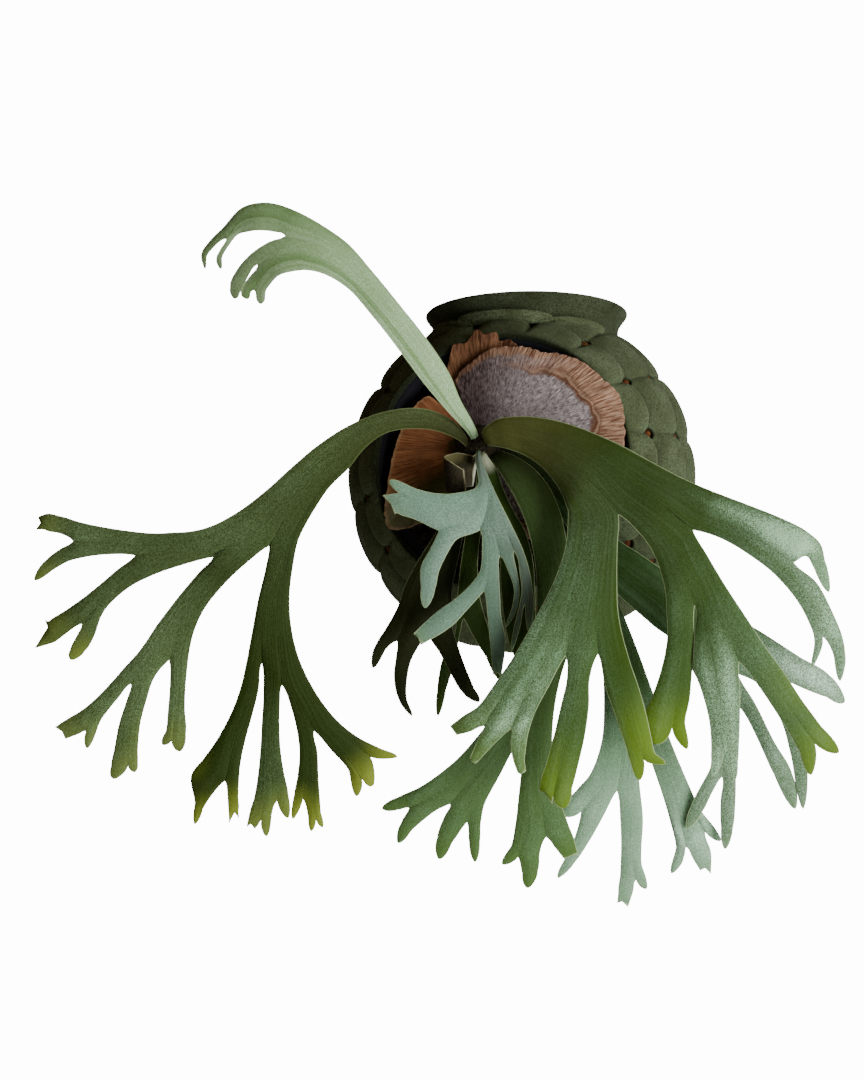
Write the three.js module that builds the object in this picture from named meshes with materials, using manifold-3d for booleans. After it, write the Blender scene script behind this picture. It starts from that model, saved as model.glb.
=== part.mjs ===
// A staghorn fern growing out of the side of a hanging globe of thick felt scales.
// Millimetres, +Z up. The origin is the middle of the felt collar's top rim, which the basket hangs by.
// The round mouth of the basket looks along -Y.
import * as THREE from "three";
import { mergeVertices } from "three/addons/utils/BufferGeometryUtils.js";
import Module from "manifold-3d";

const wasm = await Module();
wasm.setup();

// Driving sizes
const GLOBE_RADIUS = 137; // mean outer radius of the felt globe
const COLLAR_HEIGHT = 134; // from the middle of the globe to the collar's rim
const GLOBE = new THREE.Vector3(-5, 0, -COLLAR_HEIGHT); // middle of the globe
const SCALES = 16; // felt scales in one ring
const MOUTH_ANGLE = 43.5; // degrees from the mouth's axis to the felt lip
const RING_EDGES = [55, 73, 91, 109, 127, 145, 163]; // degrees to the free edge of each ring
const FELT_INSIDE = 128.5;
const LINING_OUTSIDE = 127.9;
const LINING_INSIDE = 123.2;
const LINER_OUTSIDE = 122.8;
const LINER_INSIDE = 120.8;
const MEDIUM_RADIUS = 120.4;
const SHELL_ANGLE = 47; // degrees from the mouth's axis to the edge of the shells inside the felt
const NECK_OFFSET = -GLOBE.x; // the collar stands a little to the right of the globe's middle
const NECK_RADIUS = 73.2; // outside of the collar where it passes through the globe
const NECK_CLEARANCE = 0.4;
const NECK_SEGMENTS = 40;
const NECK_BOTTOM = 96;
const COLLAR_WALL = 6;
const COLLAR_FLARE_START = 125;
const COLLAR_RIM_RADIUS = 80;
const SHIELD_THICKNESS = 2;
const FROND_THICKNESS = 1.6;
const SLOT_CLEARANCE = 0.4; // round a stalk where it stands in the rhizome

// Drawing board
// The fronds are laid out on a board that stands in front of the plant, as seen from one eye point.
// A board place is [x, y] in steps from the drawing's top left corner, and depth is in mm towards the
// eye, from the middle of the globe.
const BOARD_STEP = 0.8; // mm
const BOARD_MIDDLE = [432, 540];
const EYE_DISTANCE = 1300;
const GLOBE_ON_BOARD = [71.2, 48]; // mm from the board's middle
const BOARD_TURN = THREE.MathUtils.degToRad(12);
const BOARD_TILT = THREE.MathUtils.degToRad(-6);
const RIGHT = new THREE.Vector3(Math.cos(BOARD_TURN), Math.sin(BOARD_TURN), 0);
const FRONT = new THREE.Vector3(
  Math.sin(BOARD_TURN) * Math.cos(BOARD_TILT),
  -Math.cos(BOARD_TURN) * Math.cos(BOARD_TILT),
  Math.sin(BOARD_TILT),
);
const UP = new THREE.Vector3().crossVectors(FRONT, RIGHT);

function onBoard(x, y, depth) {
  const nearer = 1 - depth / EYE_DISTANCE;
  const across = (x - BOARD_MIDDLE[0]) * BOARD_STEP * nearer - GLOBE_ON_BOARD[0];
  const up = (BOARD_MIDDLE[1] - y) * BOARD_STEP * nearer - GLOBE_ON_BOARD[1];
  return GLOBE.clone()
    .addScaledVector(RIGHT, across)
    .addScaledVector(UP, up)
    .addScaledVector(FRONT, depth);
}

// The point behind board place (x, y) that lies `height` mm in front of the globe's middle.
function onMouth(x, y, height) {
  const far = onBoard(x, y, 0);
  const near = onBoard(x, y, 100);
  const depth = (100 * (-height - far.y)) / (near.y - far.y);
  return onBoard(x, y, depth);
}

// Solids

function toSolid(geometry) {
  const bare = geometry.clone();
  for (const name of Object.keys(bare.attributes)) {
    if (name !== "position") bare.deleteAttribute(name);
  }
  const merged = mergeVertices(bare, 1e-4);
  const made = new wasm.Manifold(
    new wasm.Mesh({
      numProp: 3,
      vertProperties: new Float32Array(merged.attributes.position.array),
      triVerts: new Uint32Array(merged.index.array),
    }),
  );
  return made;
}

function toGeometry(solid) {
  const mesh = solid.getMesh();
  const geometry = new THREE.BufferGeometry();
  geometry.setAttribute("position", new THREE.BufferAttribute(new Float32Array(mesh.vertProperties), 3));
  geometry.setIndex(new THREE.BufferAttribute(new Uint32Array(mesh.triVerts), 1));
  geometry.computeVertexNormals();
  return geometry;
}

function meshOf(points, faces) {
  const geometry = new THREE.BufferGeometry();
  geometry.setAttribute("position", new THREE.Float32BufferAttribute(points.flatMap((p) => [p.x, p.y, p.z]), 3));
  geometry.setIndex(faces.flat());
  return geometry;
}

function signedVolume(points, faces) {
  return faces.reduce((sum, [a, b, c]) => {
    const cross = new THREE.Vector3().crossVectors(points[b], points[c]);
    return sum + points[a].dot(cross) / 6;
  }, 0);
}

function facingOut(points, faces) {
  return signedVolume(points, faces) < 0 ? faces.map(([a, b, c]) => [a, c, b]) : faces;
}

// A thin sheet made solid: both faces are split alike, and every open edge gets a rim.
function thickened(points, faces, thickness) {
  const normals = points.map(() => new THREE.Vector3());
  for (const [a, b, c] of faces) {
    const ab = new THREE.Vector3().subVectors(points[b], points[a]);
    const ac = new THREE.Vector3().subVectors(points[c], points[a]);
    const normal = ab.cross(ac);
    for (const corner of [a, b, c]) normals[corner].add(normal);
  }
  const front = points.map((p, i) => p.clone().addScaledVector(normals[i].normalize(), thickness / 2));
  const back = points.map((p, i) => p.clone().addScaledVector(normals[i], -thickness / 2));
  const count = points.length;
  const edges = new Map();
  for (const face of faces) {
    for (let i = 0; i < 3; i++) {
      const from = face[i];
      const to = face[(i + 1) % 3];
      if (!edges.delete(`${to},${from}`)) edges.set(`${from},${to}`, [from, to]);
    }
  }
  const all = [...faces, ...faces.map(([a, b, c]) => [a + count, c + count, b + count])];
  for (const [from, to] of edges.values()) {
    all.push([to, from, from + count]);
    all.push([to, from + count, to + count]);
  }
  const allPoints = [...front, ...back];
  return meshOf(allPoints, facingOut(allPoints, all));
}

// Felt basket

// A point of the globe: radius, degrees from the mouth's axis, and degrees round it from the top.
function onGlobe(radius, polar, round) {
  const theta = THREE.MathUtils.degToRad(polar);
  const phi = THREE.MathUtils.degToRad(round);
  return new THREE.Vector3(
    radius * Math.sin(theta) * Math.sin(phi),
    -radius * Math.cos(theta),
    radius * Math.sin(theta) * Math.cos(phi),
  );
}

// Scales that would run into the neck stand up in front of the collar instead.
const TONGUE_CLEARANCE = 76.2;
const LIP_CLEARANCE = 77;
const TONGUE_SPREAD = 0.45;
const TONGUE_RISE = 0.2;

function clearOfNeck(point, radius, clearance) {
  const aside = point.x - NECK_OFFSET;
  const flat = Math.hypot(aside, point.y);
  const limit = clearance + (radius - FELT_INSIDE) * TONGUE_SPREAD;
  if (point.z < 0 || flat > limit) return point;
  const x = NECK_OFFSET + (aside * limit) / flat;
  const y = (point.y * limit) / flat;
  const rise = Math.sqrt(radius * radius - x * x - y * y) + TONGUE_RISE * (limit - flat);
  return new THREE.Vector3(x, y, rise);
}

const COLUMNS_A_SCALE = 3;
const SEAM_DEPTH = 4;
const SEAM_RETREAT = 1.6; // degrees by which the free edge draws back between two scales

// One ring of pillowy scales, a section of [degrees, radius, seam share] carried round the mouth's axis.
function scaleRing(section, neckClearance) {
  const columns = SCALES * COLUMNS_A_SCALE;
  const points = [];
  for (let column = 0; column < columns; column++) {
    const inScale = (column % COLUMNS_A_SCALE) / COLUMNS_A_SCALE;
    const seam = (1 + Math.cos(inScale * 2 * Math.PI)) / 2;
    const round = ((column / COLUMNS_A_SCALE + 0.5) * 360) / SCALES;
    for (const [polar, radius, share] of section) {
      const place = onGlobe(radius - SEAM_DEPTH * seam * share, polar - SEAM_RETREAT * seam * Math.max(share, 0) ** 2, round);
      points.push(neckClearance ? clearOfNeck(place, radius, neckClearance) : place);
    }
  }
  const rows = section.length;
  const faces = [];
  for (let column = 0; column < columns; column++) {
    for (let row = 0; row < rows; row++) {
      const a = column * rows + row;
      const b = column * rows + ((row + 1) % rows);
      const c = ((column + 1) % columns) * rows + row;
      const d = ((column + 1) % columns) * rows + ((row + 1) % rows);
      faces.push([a, b, d], [a, d, c]);
    }
  }
  return toSolid(meshOf(points, facingOut(points, faces)));
}

function lipSection() {
  return [
    [47, FELT_INSIDE, 0],
    [MOUTH_ANGLE + 0.4, 131.5, 0],
    [MOUTH_ANGLE, 136.5, 0.15],
    [47, 140.3, 0.4],
    [52, 141, 0.8],
    [RING_EDGES[0] - 0.2, 136, 0.6],
    [RING_EDGES[0] - 0.2, FELT_INSIDE, 0],
  ];
}

function ringSection(start, end) {
  return [
    [start + 0.1, FELT_INSIDE, 0],
    [start + 0.1, 133.5, 0],
    [start + 4, 138.6, 0.5],
    [start + 10.5, 141, 1],
    [end - 1.6, 139, 1],
    [end - 0.2, 134, 0.5],
    [end - 0.2, FELT_INSIDE, 0],
  ];
}

// A solid of revolution round the mouth's axis, from [radius from the axis, height towards the mouth].
function turnedOnMouthAxis(profile, segments) {
  const outline = profile.map(([across, height]) => new THREE.Vector2(across, height));
  const geometry = new THREE.LatheGeometry(outline, segments);
  geometry.rotateX(Math.PI);
  return oriented(geometry);
}

function oriented(geometry) {
  const bare = geometry.clone();
  for (const name of Object.keys(bare.attributes)) {
    if (name !== "position") bare.deleteAttribute(name);
  }
  const merged = mergeVertices(bare, 1e-3);
  const points = [];
  const position = merged.attributes.position;
  for (let i = 0; i < position.count; i++) points.push(new THREE.Vector3().fromBufferAttribute(position, i));
  const faces = [];
  for (let i = 0; i < merged.index.count; i += 3) {
    const face = [merged.index.getX(i), merged.index.getX(i + 1), merged.index.getX(i + 2)];
    if (new Set(face).size === 3) faces.push(face);
  }
  return toSolid(meshOf(points, facingOut(points, faces)));
}

// The shells inside the felt bend where the rings meet, so they nest closely.
const SHELL_ANGLES = [SHELL_ANGLE, ...RING_EDGES, 180];

function arc(radius, angles) {
  return angles.map((degrees) => {
    const angle = THREE.MathUtils.degToRad(degrees);
    return [degrees === 180 ? 0 : radius * Math.sin(angle), radius * Math.cos(angle)];
  });
}

function shell(outside, inside, angles, segments) {
  const outer = arc(outside, angles);
  const inner = arc(inside, angles).reverse();
  return turnedOnMouthAxis([...outer, ...inner, outer[0]], segments);
}

// The round hole in the top of the globe that the collar passes through.
function neckHole(radius, bottom) {
  const height = GLOBE_RADIUS + 40 - bottom;
  const drum = new THREE.CylinderGeometry(radius, radius, height, NECK_SEGMENTS);
  drum.rotateX(Math.PI / 2);
  drum.translate(NECK_OFFSET, 0, bottom + height / 2);
  return oriented(drum);
}

function backCap() {
  const start = RING_EDGES[RING_EDGES.length - 1] + 0.2;
  return shell(GLOBE_RADIUS + 2, FELT_INSIDE, [start, 172, 180], 24);
}

function collar() {
  const inside = NECK_RADIUS - COLLAR_WALL;
  const profile = [
    [inside, NECK_BOTTOM],
    [NECK_RADIUS, NECK_BOTTOM],
    [NECK_RADIUS, COLLAR_FLARE_START - 2],
    [NECK_RADIUS + 2.6, COLLAR_FLARE_START + 3.5],
    [COLLAR_RIM_RADIUS - 0.6, COLLAR_HEIGHT - 3],
    [COLLAR_RIM_RADIUS - 1.4, COLLAR_HEIGHT],
    [COLLAR_RIM_RADIUS - COLLAR_WALL, COLLAR_HEIGHT],
    [COLLAR_RIM_RADIUS - COLLAR_WALL - 0.8, COLLAR_HEIGHT - 4],
    [inside + 2.4, COLLAR_FLARE_START + 2.5],
    [inside, COLLAR_FLARE_START - 3],
  ];
  const outline = [...profile, profile[0]].map(([x, y]) => new THREE.Vector2(x, y));
  const geometry = new THREE.LatheGeometry(outline, NECK_SEGMENTS);
  geometry.rotateX(Math.PI / 2);
  geometry.translate(NECK_OFFSET, 0, 0);
  return oriented(geometry);
}

// The medium fills the liner up to its edge and has a flat top under the collar.
function mediumBody() {
  const ball = arc(MEDIUM_RADIUS, SHELL_ANGLES);
  const round = turnedOnMouthAxis([[0, ball[0][1]], ...ball], 24);
  return round.subtract(neckHole(NECK_RADIUS + 20, NECK_BOTTOM - NECK_CLEARANCE));
}

// Fern

// The bud that all the fronds spring from.
const BUD = [481, 449]; // board place
const BUD_DEPTH = 93;
const BUD_RADIUS = 20;

function budBody(extra) {
  const ball = new THREE.IcosahedronGeometry(BUD_RADIUS + extra, 3);
  const middle = onBoard(BUD[0], BUD[1], BUD_DEPTH);
  ball.translate(middle.x, middle.y, middle.z);
  return oriented(ball);
}

// A shield frond is a sheet that spreads from the bud to a margin. The margin is given as board places
// with a height in mm in front of the globe's middle. Where it stands clear of the mouth the sheet
// bulges by `crown`, and its margin is crinkled.
const SHIELDS = {
  shield_frond_round: {
    heart: 99, crown: 4.5,
    margin: [
      [455, 381, 105], [461, 371, 105.5], [473, 361, 106], [486, 351, 106.5], [500, 347, 107], [514, 346.5, 107],
      [528, 347.5, 107], [543, 352, 107], [557, 353.5, 107], [572, 357, 107], [589, 366, 107], [604, 380, 107],
      [617, 392, 106.5], [623, 410, 105.5], [624.5, 430, 104], [623, 452, 102.5], [617, 478, 100], [603, 503, 98],
      [583, 523, 97], [560, 535, 97], [535, 540, 97], [512, 531, 97], [497, 512, 97], [487, 490, 97.5],
    ],
  },
  shield_frond_back: {
    heart: 95.5, crown: 0,
    margin: [
      [441, 392, 99.5], [446, 377, 101], [449, 360, 101], [453, 345.5, 101.5], [466, 343, 101.5], [476, 329.5, 102.5],
      [484, 334, 102.5], [496, 332.5, 102.5], [500, 341, 101.5], [510, 340, 101.5], [520, 349, 101.5],
      [528, 362, 101.5], [531, 380, 101.5],
    ],
  },
  shield_frond_left: {
    heart: 97, crown: 1.5,
    margin: [
      [452, 517, 99], [436, 519, 99.5], [420, 524, 100.5], [403, 529.5, 101.5], [388, 527, 102.5], [384, 509, 102.5],
      [386.5, 492, 102.5], [391, 462, 101.5], [399, 436, 101], [406, 416, 101], [415, 405, 101], [427, 396.5, 101],
      [435, 400, 100], [443.5, 406.5, 99], [452, 413, 98],
    ],
  },
};
const SHIELD_FOOT = 27.3; // board steps from the bud's middle to the foot of a shield
const SHIELD_RINGS = [0, 0.32, 0.62, 0.85, 1]; // shares of the way from foot to margin
const CLEAR_HEIGHTS = [100, 107]; // between these margin heights the bulge grows to its whole size
const CRINKLE = 0.8;

function shieldHeight(shield, share, edge, along) {
  const clear = THREE.MathUtils.smoothstep(edge, ...CLEAR_HEIGHTS);
  const crown = shield.crown * (shield.crown < 2 ? 1 : clear);
  const slope = shield.heart + (edge - shield.heart) * share;
  return slope + crown * Math.sin(share * Math.PI) + CRINKLE * share ** 4 * Math.sin(along * 2.4);
}

function shieldFrond(shield) {
  const margin = shield.margin;
  const points = [];
  margin.forEach(([x, y, edge], along) => {
    const foot = SHIELD_FOOT / Math.hypot(x - BUD[0], y - BUD[1]);
    for (const ring of SHIELD_RINGS) {
      const share = foot + (1 - foot) * ring;
      const height = shieldHeight(shield, share, edge, along);
      points.push(onMouth(BUD[0] + (x - BUD[0]) * share, BUD[1] + (y - BUD[1]) * share, height));
    }
  });
  const rows = SHIELD_RINGS.length;
  const faces = [];
  for (let along = 0; along < margin.length - 1; along++) {
    for (let row = 0; row < rows - 1; row++) {
      const a = along * rows + row;
      faces.push([a, a + 1, a + rows + 1], [a, a + rows + 1, a + rows]);
    }
  }
  return toSolid(thickened(points, faces, SHIELD_THICKNESS));
}

// A fertile frond is a blade that forks. A rung is [left x, left y, right x, right y, depth] across the
// blade, in order from the bud. A fork lists the left margin, each crotch and the right margin, and its
// parts grow from the stretches between them. A part ends in a tip [x, y, depth].
// (The tables are set out below, each under the name of its frond.)
const FRONDS = {
  fertile_frond_tall: {
    rungs: [
      [473, 442, 479.5, 439, 103], [468, 434, 477, 431, 118], [460, 424.5, 470.5, 418, 131],
      [449, 413, 462, 403, 143], [425, 385, 449, 373, 159], [401, 353, 426, 338, 172],
      [373, 317, 400, 305, 183], [347, 288, 373, 272, 190], [323, 274, 345, 241, 194], [309, 270.5, 322, 225, 195],
    ],
    depth: 194, fork: [[296, 271], [285, 236], [296, 211]],
    parts: [
      {
        rungs: [[284, 273.5, 270, 241.5, 192]],
        depth: 187, fork: [[276, 278], [258, 265], [252, 253]],
        parts: [
          {
            rungs: [[270, 285, 249, 277, 180]],
            depth: 174, fork: [[266, 291], [254, 290], [242, 288]],
            parts: [
              { rungs: [[265.5, 297, 256, 297, 170]], tip: [261, 304, 166] },
              { rungs: [[250.5, 294.5, 241, 293.5, 170]], tip: [246.5, 299, 166] },
            ],
          },
          { rungs: [[248, 277, 238, 268, 181], [240, 293, 230, 288, 172]], tip: [234, 298.5, 167] },
        ],
      },
      {
        rungs: [[274, 232, 279, 204.5, 192], [259, 230.5, 262, 202.5, 190], [245, 232.5, 242, 207.5, 186]],
        depth: 181, fork: [[236, 236], [226, 239], [222.5, 228]],
        parts: [
          { rungs: [[229, 245, 220.5, 249, 175], [222, 257, 216, 259, 169]], tip: [221, 269, 163] },
          { rungs: [[214, 247, 209.5, 241, 176], [207, 256, 201.5, 253, 170]], tip: [205, 269, 163] },
        ],
      },
    ],
  },
  fertile_frond_left: {
    rungs: [
      [469, 443, 469, 450, 102], [465, 434, 461, 442, 114], [455, 422.5, 446, 434, 126],
      [435, 411.5, 430, 429.5, 139], [409, 408, 405, 429, 149], [378, 413.5, 384, 434, 155],
      [345, 427.5, 364, 449, 159], [317, 446, 349, 468, 161], [292, 467, 329, 488, 162],
      [270, 487, 316, 507, 162], [253, 501, 304, 528, 161],
    ],
    depth: 160, fork: [[236, 513], [269, 546], [297, 545]],
    parts: [
      {
        rungs: [[216, 524, 250, 560, 158]],
        depth: 155, fork: [[195, 530.5], [213, 557], [231, 577]],
        parts: [
          {
            rungs: [[172, 532.5, 176, 567, 152]],
            depth: 149, fork: [[148, 533], [135, 555.5], [151, 576]],
            parts: [
              {
                rungs: [[112, 528.5, 108, 554.5, 146]],
                depth: 143, fork: [[80, 522], [73, 541], [83, 557.5]],
                parts: [
                  { rungs: [[60, 516, 60, 533.5, 140], [44, 514.5, 44, 529.5, 137]], tip: [37, 522, 135] },
                  { rungs: [[60, 549, 68, 561.5, 139], [46, 560, 53, 570, 135]], tip: [34.5, 580, 131] },
                ],
              },
              {
                rungs: [[118, 569, 133, 585, 145], [98, 586, 115, 599, 141]],
                depth: 138, fork: [[79, 601], [82, 624], [101, 617]],
                parts: [
                  { rungs: [[63, 612, 67, 633, 135], [49, 621, 55, 642, 132]], tip: [35, 647, 129] },
                  { rungs: [[76, 637, 94, 637, 134], [70, 650, 85, 651, 131]], tip: [72, 660, 129] },
                ],
              },
            ],
          },
          {
            rungs: [[200, 571, 219, 590, 151], [179, 596, 205, 608, 147], [159, 622, 195, 629, 143]],
            depth: 139, fork: [[140, 650], [169, 660], [189, 655]],
            parts: [
              {
                rungs: [],
                depth: 135, fork: [[123, 669], [131, 684], [153, 680]],
                parts: [
                  {
                    rungs: [[108, 686, 119, 697, 133], [92, 702, 107, 712, 130]],
                    depth: 127, fork: [[79, 712], [86, 731], [100, 722]],
                    parts: [
                      { rungs: [[67, 719, 76, 735, 125]], tip: [57, 728, 123] },
                      { rungs: [], tip: [88, 748, 124] },
                    ],
                  },
                  {
                    rungs: [[127, 699, 147, 699, 132], [119, 724, 140.5, 724, 129], [114, 750, 138, 750, 126]],
                    depth: 123, fork: [[111, 766], [128, 766], [138, 762]],
                    parts: [
                      { rungs: [], tip: [114, 779, 121] },
                      { rungs: [], tip: [135, 772, 121] },
                    ],
                  },
                ],
              },
              {
                rungs: [[170, 682, 186, 682, 136], [168, 710, 185, 710, 132]],
                depth: 129, fork: [[166, 731], [171.5, 741], [186, 733]],
                parts: [
                  { rungs: [], tip: [162, 744, 127] },
                  { rungs: [], tip: [181, 751, 126] },
                ],
              },
            ],
          },
        ],
      },
      {
        rungs: [[266, 566, 293, 567, 161], [258, 600, 289.5, 599, 160], [252, 632, 292, 631, 158]],
        depth: 155, fork: [[246, 664], [262, 663], [282, 685], [307, 677]],
        parts: [
          {
            rungs: [[241, 686, 259, 687, 152], [232, 711, 253, 713, 149], [219, 736, 246, 738, 145]],
            depth: 141, fork: [[204, 758], [225, 781], [240, 768]],
            parts: [
              { rungs: [[191, 776, 212, 795, 138], [195, 803, 203, 809, 134]], tip: [194.5, 824, 131] },
              { rungs: [[227.5, 796, 238.5, 796, 137], [228.5, 811, 238.5, 811, 134]], tip: [231, 822, 132] },
            ],
          },
          {
            rungs: [
              [263.5, 692, 280, 702, 152], [262, 720, 279.5, 722, 149], [260.5, 748, 280.5, 748, 146],
              [258, 774, 284, 772, 143],
            ],
            depth: 139, fork: [[254, 798], [277, 801], [288.5, 795]],
            parts: [
              {
                rungs: [],
                depth: 136, fork: [[249.5, 813], [261, 820], [272, 813]],
                parts: [
                  { rungs: [], tip: [250, 829, 134] },
                  { rungs: [], tip: [267, 836, 134] },
                ],
              },
              { rungs: [], tip: [288, 818, 136] },
            ],
          },
          {
            rungs: [[291, 707, 325, 706, 151]],
            depth: 148, fork: [[297, 731], [314, 731], [342, 725]],
            parts: [
              {
                rungs: [[299.5, 752, 317.5, 752, 145], [297.5, 776, 318.5, 776, 141]],
                depth: 138, fork: [[294, 795], [303, 799], [320, 797]],
                parts: [
                  { rungs: [], tip: [292.5, 819, 135] },
                  {
                    rungs: [],
                    depth: 136, fork: [[308, 816], [316, 820], [321, 813]],
                    parts: [
                      { rungs: [], tip: [311, 831, 134] },
                      { rungs: [], tip: [323, 827, 134] },
                    ],
                  },
                ],
              },
              {
                rungs: [[330, 749, 358, 737, 144]],
                depth: 140, fork: [[349, 771], [362, 779], [370.5, 757], [381, 748.5]],
                parts: [
                  { rungs: [], tip: [356, 796, 137] },
                  { rungs: [], tip: [374, 784, 137] },
                  { rungs: [], tip: [397, 757, 137] },
                ],
              },
            ],
          },
        ],
      },
    ],
  },
  fertile_frond_right: {
    rungs: [
      [486, 446, 482, 439, 104], [489, 446, 482, 433, 117], [500, 447, 492, 422, 129], [524, 455, 514, 416.5, 141],
      [545, 470, 546, 418.5, 152], [560, 490, 578, 427, 161], [566, 505, 612, 441, 167],
    ],
    depth: 171, fork: [[568, 519], [618.5, 515], [650, 461]],
    parts: [
      {
        rungs: [[565, 548, 617.5, 545, 177], [554, 581, 617, 580, 182], [536, 617, 619, 618, 186]],
        depth: 188, fork: [[512, 659], [565.5, 656], [598, 654], [630, 662]],
        parts: [
          {
            rungs: [[496, 682, 550, 684, 188]],
            depth: 187, fork: [[476, 708], [484, 726], [511, 729], [533, 717]],
            parts: [
              { rungs: [[463, 716, 467, 732.5, 185]], tip: [449.5, 729, 182] },
              { rungs: [[477, 741, 496, 742, 184]], tip: [471, 763, 180] },
              { rungs: [[510.5, 742, 527.5, 736, 185], [513, 760, 524.5, 758, 182]], tip: [520, 775, 179] },
            ],
          },
          {
            rungs: [
              [567, 677, 590, 677, 188], [561, 705, 589, 705, 187], [554, 735, 585, 735, 185],
              [546, 763, 579, 762, 182],
            ],
            depth: 180, fork: [[540, 786], [553, 797], [572, 788]],
            parts: [
              { rungs: [], tip: [544, 800, 178] },
              { rungs: [], tip: [565, 808, 178] },
            ],
          },
          {
            rungs: [[605, 686, 638, 685, 187], [615, 715, 645.5, 711, 185], [625, 744, 651.5, 738, 182]],
            depth: 180, fork: [[631, 765], [644, 760], [655, 753]],
            parts: [
              { rungs: [], tip: [640, 780, 178] },
              { rungs: [], tip: [665, 764, 178] },
            ],
          },
        ],
      },
      {
        rungs: [[639, 533, 678, 476, 174]],
        depth: 177, fork: [[656, 559], [693, 530], [712, 491]],
        parts: [
          {
            rungs: [[664, 585, 706, 553, 180]],
            depth: 182, fork: [[666.5, 612], [694.5, 606], [725, 585]],
            parts: [
              {
                rungs: [[667, 641, 694, 640, 183], [660, 673, 692, 672, 183], [652, 697, 689.5, 700, 181]],
                depth: 178, fork: [[645, 715], [672, 728], [685, 722]],
                parts: [
                  { rungs: [], tip: [654, 744, 176] },
                  { rungs: [], tip: [687, 749, 175] },
                ],
              },
              {
                rungs: [[694, 639, 746, 617, 184]],
                depth: 185, fork: [[693.5, 668], [739, 662], [767, 649]],
                parts: [
                  {
                    rungs: [[701, 690, 740, 690, 185], [709, 720, 740, 720, 184], [711, 745, 739, 745, 181]],
                    depth: 177, fork: [[711, 761], [723, 757], [738, 761]],
                    parts: [
                      { rungs: [], tip: [714, 776, 172] },
                      { rungs: [], tip: [733, 781, 172] },
                    ],
                  },
                  {
                    rungs: [[757, 684, 783, 671, 185], [777, 714, 802, 700, 183]],
                    depth: 180, fork: [[799, 750], [815, 744], [821, 726]],
                    parts: [
                      { rungs: [], tip: [811, 775, 177] },
                      { rungs: [], tip: [839, 752, 177] },
                    ],
                  },
                ],
              },
            ],
          },
          {
            rungs: [[722, 539, 750, 505.5, 179], [752, 557, 780, 517.5, 182]],
            depth: 183, fork: [[777, 577], [794, 562.5], [805, 530]],
            parts: [
              {
                rungs: [[797, 601, 817, 583, 183], [809, 623, 832, 611, 181]],
                depth: 178, fork: [[814, 638], [823, 637], [841, 632]],
                parts: [
                  { rungs: [], tip: [812, 668, 171] },
                  { rungs: [[833, 654, 845, 652, 174]], tip: [840, 681, 169] },
                ],
              },
              { rungs: [[806, 556, 820, 543, 181], [814, 569, 825, 561, 172]], tip: [829, 592, 161] },
            ],
          },
        ],
      },
    ],
  },
  fertile_frond_front: {
    rungs: [
      [478, 458, 483, 457, 105], [479, 463, 486, 460, 120], [480, 472, 490, 475, 133], [478, 484, 495, 492, 143],
    ],
    depth: 153, fork: [[456, 493], [480, 530], [512, 526]],
    parts: [
      {
        rungs: [],
        depth: 157, fork: [[434, 493], [438.5, 530.5], [456, 540]],
        parts: [
          {
            rungs: [[414, 488, 414, 519, 159]],
            depth: 160, fork: [[401, 482], [399.5, 493], [397, 513]],
            parts: [
              { rungs: [], tip: [389, 481, 160] },
              { rungs: [], tip: [381.5, 497, 160] },
            ],
          },
          {
            rungs: [[430, 549, 446, 556, 159], [421, 566, 439, 571, 160], [421, 588, 435, 589, 159]],
            tip: [425, 608, 158],
          },
        ],
      },
      {
        rungs: [],
        depth: 158, fork: [[482, 548], [500, 556], [514, 551], [523, 550]],
        parts: [
          {
            rungs: [[481, 567, 499, 573, 160]],
            depth: 161, fork: [[475, 579], [484, 591], [500, 594]],
            parts: [
              { rungs: [[456, 598, 466, 611, 162], [434, 614, 449, 628, 162]], tip: [416, 638, 162] },
              { rungs: [[487.5, 616, 501, 615, 162], [490, 642, 505.5, 640, 163]], tip: [500, 679, 162] },
            ],
          },
          { rungs: [[508, 571, 517, 571, 158], [514, 589, 519.5, 590, 156], [512, 607, 517, 609, 154]], tip: [506, 627, 152] },
          {
            rungs: [[520, 575, 530, 573, 160], [521.5, 592, 533, 592, 160]],
            depth: 159, fork: [[519.5, 604], [525, 604], [534, 606]],
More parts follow.
